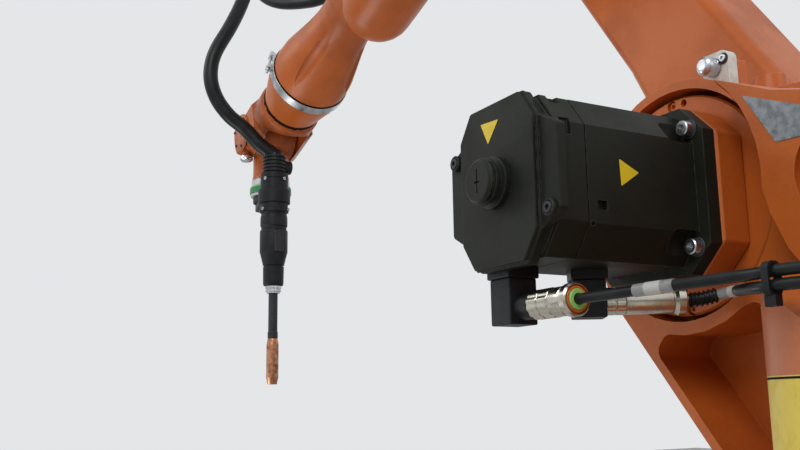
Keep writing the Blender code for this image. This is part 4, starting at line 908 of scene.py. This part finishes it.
def footDetails():
    rings, pins, faces = [], [], []
    for side in (-1, 1):
        y = side * foot["socketSpread"]
        within = facing((foot["socketEnd"], y, foot["socketHeight"]), (-1, 0, 0))
        rings.append(placed(knurled(-0.020, -0.009, foot["socketRadius"] + 0.0036, 22), within))
        faces.append(placed(ringOf(-0.0012, -0.0001, 0.0150, 0.0195, 0.0004), within))
        pins += [placed(lathed([(-0.0010, 0), (-0.0010, 0.0012), (-0.0001, 0.0012), (-0.0001, 0)], 10),
                        within @ Matrix.Translation(spot))
                 for spot in aroundCircle(6 if side < 0 else 12, 0.0095)]
    finishedPiece("socketCouplings", gathered(rings), "base", "nickelSleeve")
    finishedPiece("socketRims", gathered(faces), "base", "nickelSleeve")
    finishedPiece("socketPins", gathered(pins), "base", "zincPlate")
    spots = [(foot["panelRear"], y, z) for y, z in foot["boxScrews"]]
    screwsAt("boxScrews", "base", "zincPlate", 0.0040, 0.0035, spots, (-1, 0, 0), Matrix.Identity(4))


footDetails()


# Other servo motors: end covers with screws, and capped sockets
servo = {"half": 0.052, "firstEnd": 0.7703, "firstBack": -0.045, "thirdEnd": 0.2433, "firstDrop": 0.1180,
         "thirdDrop": 0.1130, "coverScrews": (0.0360, 0.0360), "flangeScrews": (0.0475, 0.0475),
         "socketDepth": -0.048, "socketSpread": 0.020, "wristRear": -0.2443,
         "wristMotors": [(0.0, 0.001), (-0.040, -0.071), (0.040, -0.071)]}


def servoDetails():
    first = Matrix.Translation((servo["firstBack"], 0, servo["firstEnd"])) @ facing((0, 0, 0), (0, 0, 1))
    third = armFrame @ Matrix.Translation((0, servo["thirdEnd"], 0)) @ facing((0, 0, 0), (0, 1, 0))
    half = servo["half"]
    for name, within, body in (("first", first, "column"), ("third", third, "arm")):
        drop = servo[name + "Drop"]
        outline = octagon(half + 0.0007, half + 0.0007, half * 0.28)
        seams = [plate(outline, -0.0330, -0.0300, "X"), plate(outline, -0.0970, -0.0950, "X")]
        finishedPiece(name + "MotorSeams", placed(gathered(seams), within), body, "darkPaint", (), 0.0005)
        spots = [(-0.0046, a, b) for a, b in corners(servo["coverScrews"])]
        screwsAt(name + "CoverScrews", body, "zincPlate", 0.0042, 0.0044, spots, (1, 0, 0), within)
        spots = [(-drop, a, b) for a, b in corners(servo["flangeScrews"])]
        screwsAt(name + "FlangeScrews", body, "zincPlate", 0.0055, 0.0060, spots, (1, 0, 0), within)
        side = -1 if name == "first" else 1
        stems, nuts = [], []
        for offset in (-servo["socketSpread"], servo["socketSpread"]):
            spot = within @ facing((servo["socketDepth"], offset, side * half), (0, 0, side))
            stems.append(placed(lathed([(-0.001, 0), (-0.001, 0.0135), (0.006, 0.0135), (0.007, 0.0112),
                                        (0.016, 0.0112), (0.016, 0)], 28), spot))
            nuts.append(placed(knurled(0.0080, 0.0155, 0.0128, 16), spot))
        finishedPiece(name + "MotorSockets", gathered(stems), body, "blackPolyamide", (), 0.0006)
        finishedPiece(name + "SocketNuts", gathered(nuts), body, "nickelSleeve")
    bands, plugs = [], []
    for y, z in servo["wristMotors"]:
        spot = armFrame @ facing((servo["wristRear"], y, z), (-1, 0, 0))
        bands.append(placed(ringOf(-0.030, -0.026, 0.0330, 0.0346, 0.0006), spot))
        bands.append(placed(ringOf(-0.092, -0.086, 0.0330, 0.0356, 0.0008), spot))
        plugs.append(placed(lathed([(-0.001, 0), (-0.001, 0.0150), (0.0030, 0.0150), (0.0040, 0.0120),
                                    (0.0115, 0.0112), (0.0130, 0.0098), (0.0130, 0)], 28), spot))
    finishedPiece("wristMotorBands", gathered(bands), "arm", "darkPaint")
    finishedPiece("wristMotorPlugs", gathered(plugs), "arm", "blackPolyamide", (), 0.0006)


servoDetails()


# Link: bearing covers on its outer side, and the screws of these and of the long side cover
link = {"right": -0.2345, "footCover": 0.070, "headCover": 0.060, "length": 0.680, "coverThick": 0.0048}


def linkDetails():
    covers, spots = [], []
    for along, radius in ((0.0, link["footCover"]), (link["length"], link["headCover"])):
        within = linkFrame @ facing((along, link["right"], 0), (0, -1, 0))
        thick = link["coverThick"]
        cover = lathed([(0.0002, 0), (0.0002, radius), (0.0034, radius), (thick, radius - 0.002),
                        (thick, radius * 0.45), (0.0038, radius * 0.42), (0.0038, 0)], 56)
        covers.append(placed(cover, within))
        spots += [(along + a, link["right"] - link["coverThick"] + 0.0030, b)
                  for _, a, b in aroundCircle(10, radius - 0.009, 18)]
    finishedPiece("bearingCovers", gathered(covers), "link", "orangePowder")
    screwsAt("bearingCoverScrews", "link", "darkPaint", 0.0042, 0.0038, spots, (0, -1, 0), linkFrame)
    y = link["right"] - 0.006 + 0.0033
    spots = [(x, y, z) for x in (0.115, 0.255, 0.415, 0.555) for z in (-0.018, 0.033)]
    screwsAt("sideCoverScrews", "link", "zincPlate", 0.0040, 0.0030, spots, (0, -1, 0), linkFrame)


linkDetails()

# Arm housing and forearm: access cover, screws, a dark ring of painted shade at the band, band clamp, and a dark ring
# of painted shade in the gap at the nose
arm = {"axisLow": -0.035, "top": 0.072, "bandStart": 0.483, "bandWidth": 0.016, "bandRadius": 0.0695,
       "noseEnd": 0.572, "clampTurn": -72, "elbowShadeRing": -0.138, "noseScrewRing": 0.0555,
       "coverOutline": [(-0.050, -0.040), (0.044, -0.040), (0.044, 0.060), (-0.050, 0.060)]}


def armDetails():
    cover = plate(arm["coverOutline"], arm["top"] - 0.0005, arm["top"] + 0.0040, "Z", 0.012)
    finishedPiece("housingCover", placed(cover, armFrame), "arm", "orangePowder", (), 0.0010)
    spots = [(x, y, arm["top"] + 0.0038) for x in (-0.042, 0.036) for y in (-0.032, 0.010, 0.052)]
    screwsAt("housingCoverScrews", "arm", "darkPaint", 0.0045, 0.0045, spots, (0, 0, 1), armFrame)
    low = Matrix.Translation((0, 0, arm["axisLow"]))
    start = arm["bandStart"]
    # dark ring in the unlit-bore colour at the band's edge: painted shade
    shadeRing = ringOf(start - 0.0024, start - 0.0002, 0.0665, 0.0686, 0.0006, 64)
    finishedPiece("bandShadeRing", placed(shadeRing, armFrame @ low), "arm", "darkBore")
    wide = start + arm["bandWidth"]
    collar = ringOf(wide + 0.0004, wide + 0.0030, 0.0660, 0.0684, 0.0006, 64)
    finishedPiece("bandLip", placed(collar, armFrame @ low), "arm", "orangePowder")

    turn = armFrame @ low @ Matrix.Rotation(math.radians(arm["clampTurn"]), 4, "X")
    middle = start + arm["bandWidth"] / 2
    seat = arm["bandRadius"]
    parts = [block((0.0140, 0.0080, 0.0100), (middle, -0.0130, seat + 0.0030), 0.0012),
             block((0.0140, 0.0080, 0.0100), (middle, 0.0130, seat + 0.0030), 0.0012),
             block((0.0150, 0.0200, 0.0016), (middle, 0, seat - 0.0010))]
    bolt = lathed([(-0.0215, 0), (-0.0215, 0.0040), (-0.0180, 0.0040), (-0.0180, 0.0022), (0.0265, 0.0022),
                   (0.0275, 0.0014), (0.0275, 0)], 24)
    nut = lathed([(0.0172, 0), (0.0172, 0.0042), (0.0215, 0.0042), (0.0215, 0)], 6)
    parts += [placed(shape, facing((middle, 0, seat + 0.0045), (0, 1, 0))) for shape in (bolt, nut)]
    finishedPiece("bandClamp", placed(gathered(parts), turn), "arm", "zincPlate", ("band_clasp",), 0.0004)

    end = arm["noseEnd"]
    # dark ring in the unlit-bore colour, its rim made irregular: painted shade in the gap at the end of the nose
    gapShade = ringOf(end - 0.0040, end + 0.0044, 0.0430, 0.0530, 0.0012, 96)
    bmesh.ops.subdivide_edges(gapShade, edges=gapShade.edges, cuts=1)
    for vert in gapShade.verts:
        away = Vector((0, vert.co.y, vert.co.z))
        if away.length > 0.046:
            wave = noise.noise(vert.co * 160) + 0.6 * noise.noise(vert.co * 420)
            vert.co += away.normalized() * (0.0011 * wave)
            vert.co.x += 0.0016 * noise.noise(vert.co * 240 + Vector((3, 1, 4)))
    finishedPiece("gapShadeRing", placed(gapShade, armFrame @ low), "arm", "darkBore")
    spots = [Vector(spot) for spot in aroundCircle(8, arm["noseScrewRing"], 22.5, end - 0.028)]
    heads = [placed(lathed([(-0.002, 0), (-0.002, 0.0030), (0.0006, 0.0030), (0.0012, 0.0022), (0.0012, 0)], 14),
                    armFrame @ low @ facing(spot, (0.35, spot.y, spot.z)))
             for spot in spots]
    finishedPiece("noseScrews", gathered(heads), "arm", "darkPaint")
    # dark ring in the unlit-bore colour on the elbow's side: painted shade
    shadeRing = ringOf(0.0005, 0.0030, 0.0565, 0.0640, 0.0008, 56)
    shadeRing = placed(shadeRing, armFrame @ facing((0, arm["elbowShadeRing"], 0), (0, -1, 0)))
    finishedPiece("elbowShadeRing", shadeRing, "arm", "darkBore")


armDetails()

# Wrist: plug and screws of the side cover, screws of the fork, and the bright cap
wristPart = {"coverFace": 0.062, "coverRadius": 0.029, "forkFace": -0.058, "forkScrews": (0.020, 0.012),
             "capAcross": 0.0485, "capTurn": 72}


def wristDetails():
    spots = [(a, wristPart["coverFace"], b) for _, a, b in aroundCircle(6, wristPart["coverRadius"], 30)]
    screwsAt("handCoverScrews", "wrist", "darkPaint", 0.0026, 0.0020, spots, (0, 1, 0), handFrame)
    plugSpot = handFrame @ facing((0, wristPart["coverFace"] - 0.0002, 0), (0, 1, 0))
    finishedPiece("handCoverPlug", placed(lathed([(0, 0), (0, 0.0085), (0.0012, 0.0080), (0.0012, 0)], 32), plugSpot),
                  "wrist", "orangeWornLitEdges")
    spots = [(a, wristPart["forkFace"], b) for a, b in corners(wristPart["forkScrews"])]
    screwsAt("forkScrews", "wrist", "darkPaint", 0.0034, 0.0030, spots, (0, -1, 0), handFrame)
    cap = lathed([(0.0440, 0), (0.0440, 0.0105), (0.0475, 0.0120), (0.0515, 0.0120), (0.0548, 0.0085),
                  (0.0560, 0.0040), (0.0562, 0)], 48)
    turn = Matrix.Rotation(math.radians(wristPart["capTurn"]), 4, "Y")
    within = handFrame @ Matrix.Translation((0, wristPart["capAcross"], 0)) @ turn
    finishedPiece("wristCap", placed(cap, within), "wrist", "brightChrome", ("wrist_cap",), 0.0005)


wristDetails()
print("arm and wrist details built")

# Torch: rings of the tool side, body with its cover frame, screws, neck
torch = {
    "offset": (-0.0036, 0.025, -0.0844), "radius": 0.0245, "joint": 0.098, "seam": 0.170, "collar": 0.202,
    "taper": 0.2445, "stem": 0.264, "end": 0.300, "tubeRadius": 0.0080, "tubeEnd": 0.3917,
    "ringStart": 0.1003, "ringEnd": 0.131, "ringRadius": 0.0385, "ringInner": 0.0325,
    "coverPlace": 0.2225, "coverTurn": 181, "bracketFace": 0.1433,
    "screws": [(121, 0.1105, 0.0238), (202, 0.1105, 0.0238), (112, 0.1650, 0.0252), (229, 0.1650, 0.0252)],
}
torchFrame = toolFrame @ Matrix.Translation(torch["offset"])


def torchSide(degrees):
    # direction round the torch from a compass angle in the floor plane
    angle = math.radians(degrees)
    return (0, math.sin(angle), math.cos(angle))


def toolRings():
    start, outer, inner = torch["ringStart"], torch["ringRadius"], torch["ringInner"]
    stack = {
        "limeRing": ("limeSeal", start, start + 0.0028, outer - 0.0008),
        "insulatorRing": ("greenFibre", start + 0.0029, start + 0.0142, outer),
        "paleRing": ("whiteSleeve", start + 0.0143, start + 0.0187, outer - 0.0012),
        "darkRing": ("darkPaint", start + 0.0188, torch["ringEnd"], inner),
    }
    for name, (finish, low, high, radius) in stack.items():
        shape = lathed([(low, 0), (low, radius - 0.0006), (low + 0.0006, radius), (high - 0.0006, radius),
                        (high, radius - 0.0006), (high, 0)], 56)
        replaced = ("insulator_ring",) if name == "insulatorRing" else ()
        finishedPiece(name, placed(shape, toolFrame), "tool", finish, replaced)
    heads = [placed(lathed([(0, 0), (0, 0.0030), (0.0006, 0.0032), (0.0006, 0)], 14),
                    toolFrame @ facing(spot, (1, 0, 0)))
             for spot in aroundCircle(6, 0.0270, 0, 0.0995)]
    finishedPiece("ringDowels", gathered(heads), "tool", "zincPlate")


def torchBody():
    r = torch["radius"]
    top, seam, collar = torch["joint"], torch["seam"], torch["collar"]
    taper, stem, end = torch["taper"], torch["stem"], torch["end"]
    profile = [(top, 0), (top, r - 0.001), (top + 0.001, r), (top + 0.010, r), (top + 0.0106, r - 0.0012),
               (top + 0.0124, r - 0.0012), (top + 0.013, r), (seam - 0.008, r), (seam - 0.007, r + 0.0012),
               (seam - 0.001, r + 0.0012), (seam, r - 0.001), (seam + 0.003, r - 0.0022), (seam + 0.006, r - 0.0012),
               (seam + 0.010, r - 0.0006), (collar - 0.008, r - 0.0006), (collar - 0.006, r - 0.0022),
               (collar - 0.001, r - 0.0022), (collar, r - 0.0008), (collar + 0.002, r),
               (taper - 0.004, r), (taper, r - 0.0012), (stem - 0.004, r - 0.0050), (stem, r - 0.0058),
               (stem + 0.0006, r - 0.0076), (stem + 0.0022, r - 0.0076), (stem + 0.0028, r - 0.0062),
               (end - 0.004, r - 0.0066), (end - 0.001, r - 0.0072), (end, r - 0.0084), (end, 0)]
    body = lathed(profile, 56)
    finishedPiece("torchBody", placed(body, torchFrame), "tool", "blackPolyamide", ("torch_body",))
    within = torchFrame @ facing((torch["coverPlace"], 0, 0), torchSide(torch["coverTurn"]))
    rim = block((0.0036, 0.0165, 0.0380), (r + 0.0003, 0, 0), 0.0012)
    well = block((0.0030, 0.0120, 0.0335), (r + 0.0021, 0, 0))
    finishedPiece("torchCoverFrame", placed(carved(rim, [well]), within), "tool", "darkPaint", (), 0.0004)
    screws = []
    # each screw by its compass angle, place along the torch and distance from the axis
    for degrees, along, out in torch["screws"]:
        way = Vector(torchSide(degrees))
        spot = Vector((along, 0, 0)) + way * out
        screws.append(placed(capScrew(0.0030, 0.0030), torchFrame @ facing(spot, way)))
    finishedPiece("torchScrews", gathered(screws), "tool", "zincPlate")
    start, tube = end + 0.0003, torch["tubeRadius"]
    rings = lathed([(start, 0), (start, 0.0134), (start + 0.0006, 0.0140), (start + 0.0040, 0.0140),
                    (start + 0.0046, 0.0126), (start + 0.0060, 0.0126), (start + 0.0066, 0.0137),
                    (start + 0.0100, 0.0137), (start + 0.0106, 0.0116), (start + 0.0128, 0.0116),
                    (start + 0.0134, tube), (start + 0.0134, 0)], 48)
    finishedPiece("neckRings", placed(rings, torchFrame), "tool", "zincPlate", ("torch_neck",))
    neck = lathed([(start + 0.0130, 0), (start + 0.0130, tube), (torch["tubeEnd"] - 0.012, tube),
                   (torch["tubeEnd"] - 0.011, tube + 0.0009), (torch["tubeEnd"] - 0.001, tube + 0.0009),
                   (torch["tubeEnd"], tube), (torch["tubeEnd"], 0)], 40)
    finishedPiece("neckTube", placed(neck, torchFrame), "tool", "darkPaint")
    bolts = [placed(capScrew(0.0034, 0.0034), toolFrame @ facing((torch["bracketFace"], across, -0.016), (1, 0, 0)))
             for across in (-0.010, 0.010)]
    finishedPiece("bracketBolts", gathered(bolts), "tool", "zincPlate")


toolRings()
torchBody()
print("torch built")

# Torch hose: from the torch's tail up, over the forearm and down to its holder, in two halves
hose = {
    "radius": 0.013,
    "tail": [(1.19453, 0.03804, 0.95110), (1.19875, 0.05328, 0.96334)],
    "rise": [(1.205, 0.078, 0.990), (1.208, 0.105, 1.010), (1.210, 0.127, 1.037), (1.210, 0.139, 1.067),
             (1.210, 0.140, 1.098), (1.210, 0.131, 1.131), (1.212, 0.106, 1.180), (1.223, 0.082, 1.233),
             (1.239, 0.060, 1.298), (1.263, 0.041, 1.362), (1.297, 0.024, 1.425), (1.337, 0.014, 1.464),
             (1.383, 0.008, 1.483)],
    "loop": [(1.430, 0.000, 1.479), (1.460, -0.012, 1.452), (1.469, -0.027, 1.408), (1.453, -0.045, 1.372),
             (1.418, -0.065, 1.346), (1.367, -0.088, 1.329), (1.300, -0.110, 1.315), (1.227, -0.123, 1.313),
             (1.139, -0.124, 1.306), (1.034, -0.114, 1.295), (0.950, -0.098, 1.286), (0.880, -0.083, 1.288)],
    "holder": [(0.8188, -0.0720, 1.3045), (0.7978, -0.0720, 1.3111), (0.7902, -0.0720, 1.3135)],
}


def buildHose():
    points = [Vector(p) for p in hose["tail"] + hose["rise"] + hose["loop"] + hose["holder"]]
    line = throughPoints(points, 6)
    split = (len(hose["tail"]) + len(hose["rise"]) - 1) * 6
    halves = {"hoseRise": (line[:split + 1], "wrist", "tilt", (1.30, 0.03, 1.42), (1.21, 0.09, 1.02)),
              "hoseReturn": (line[split:], "wrist", "arm", (1.34, -0.09, 1.33), (0.84, -0.08, 1.30))}
    for name, (part, first, second, start, end) in halves.items():
        tube = tubePiece(name, part, hose["radius"], "hoseRubber")
        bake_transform(tube)
    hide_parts("torch_hose")


buildHose()
print("hose laid")
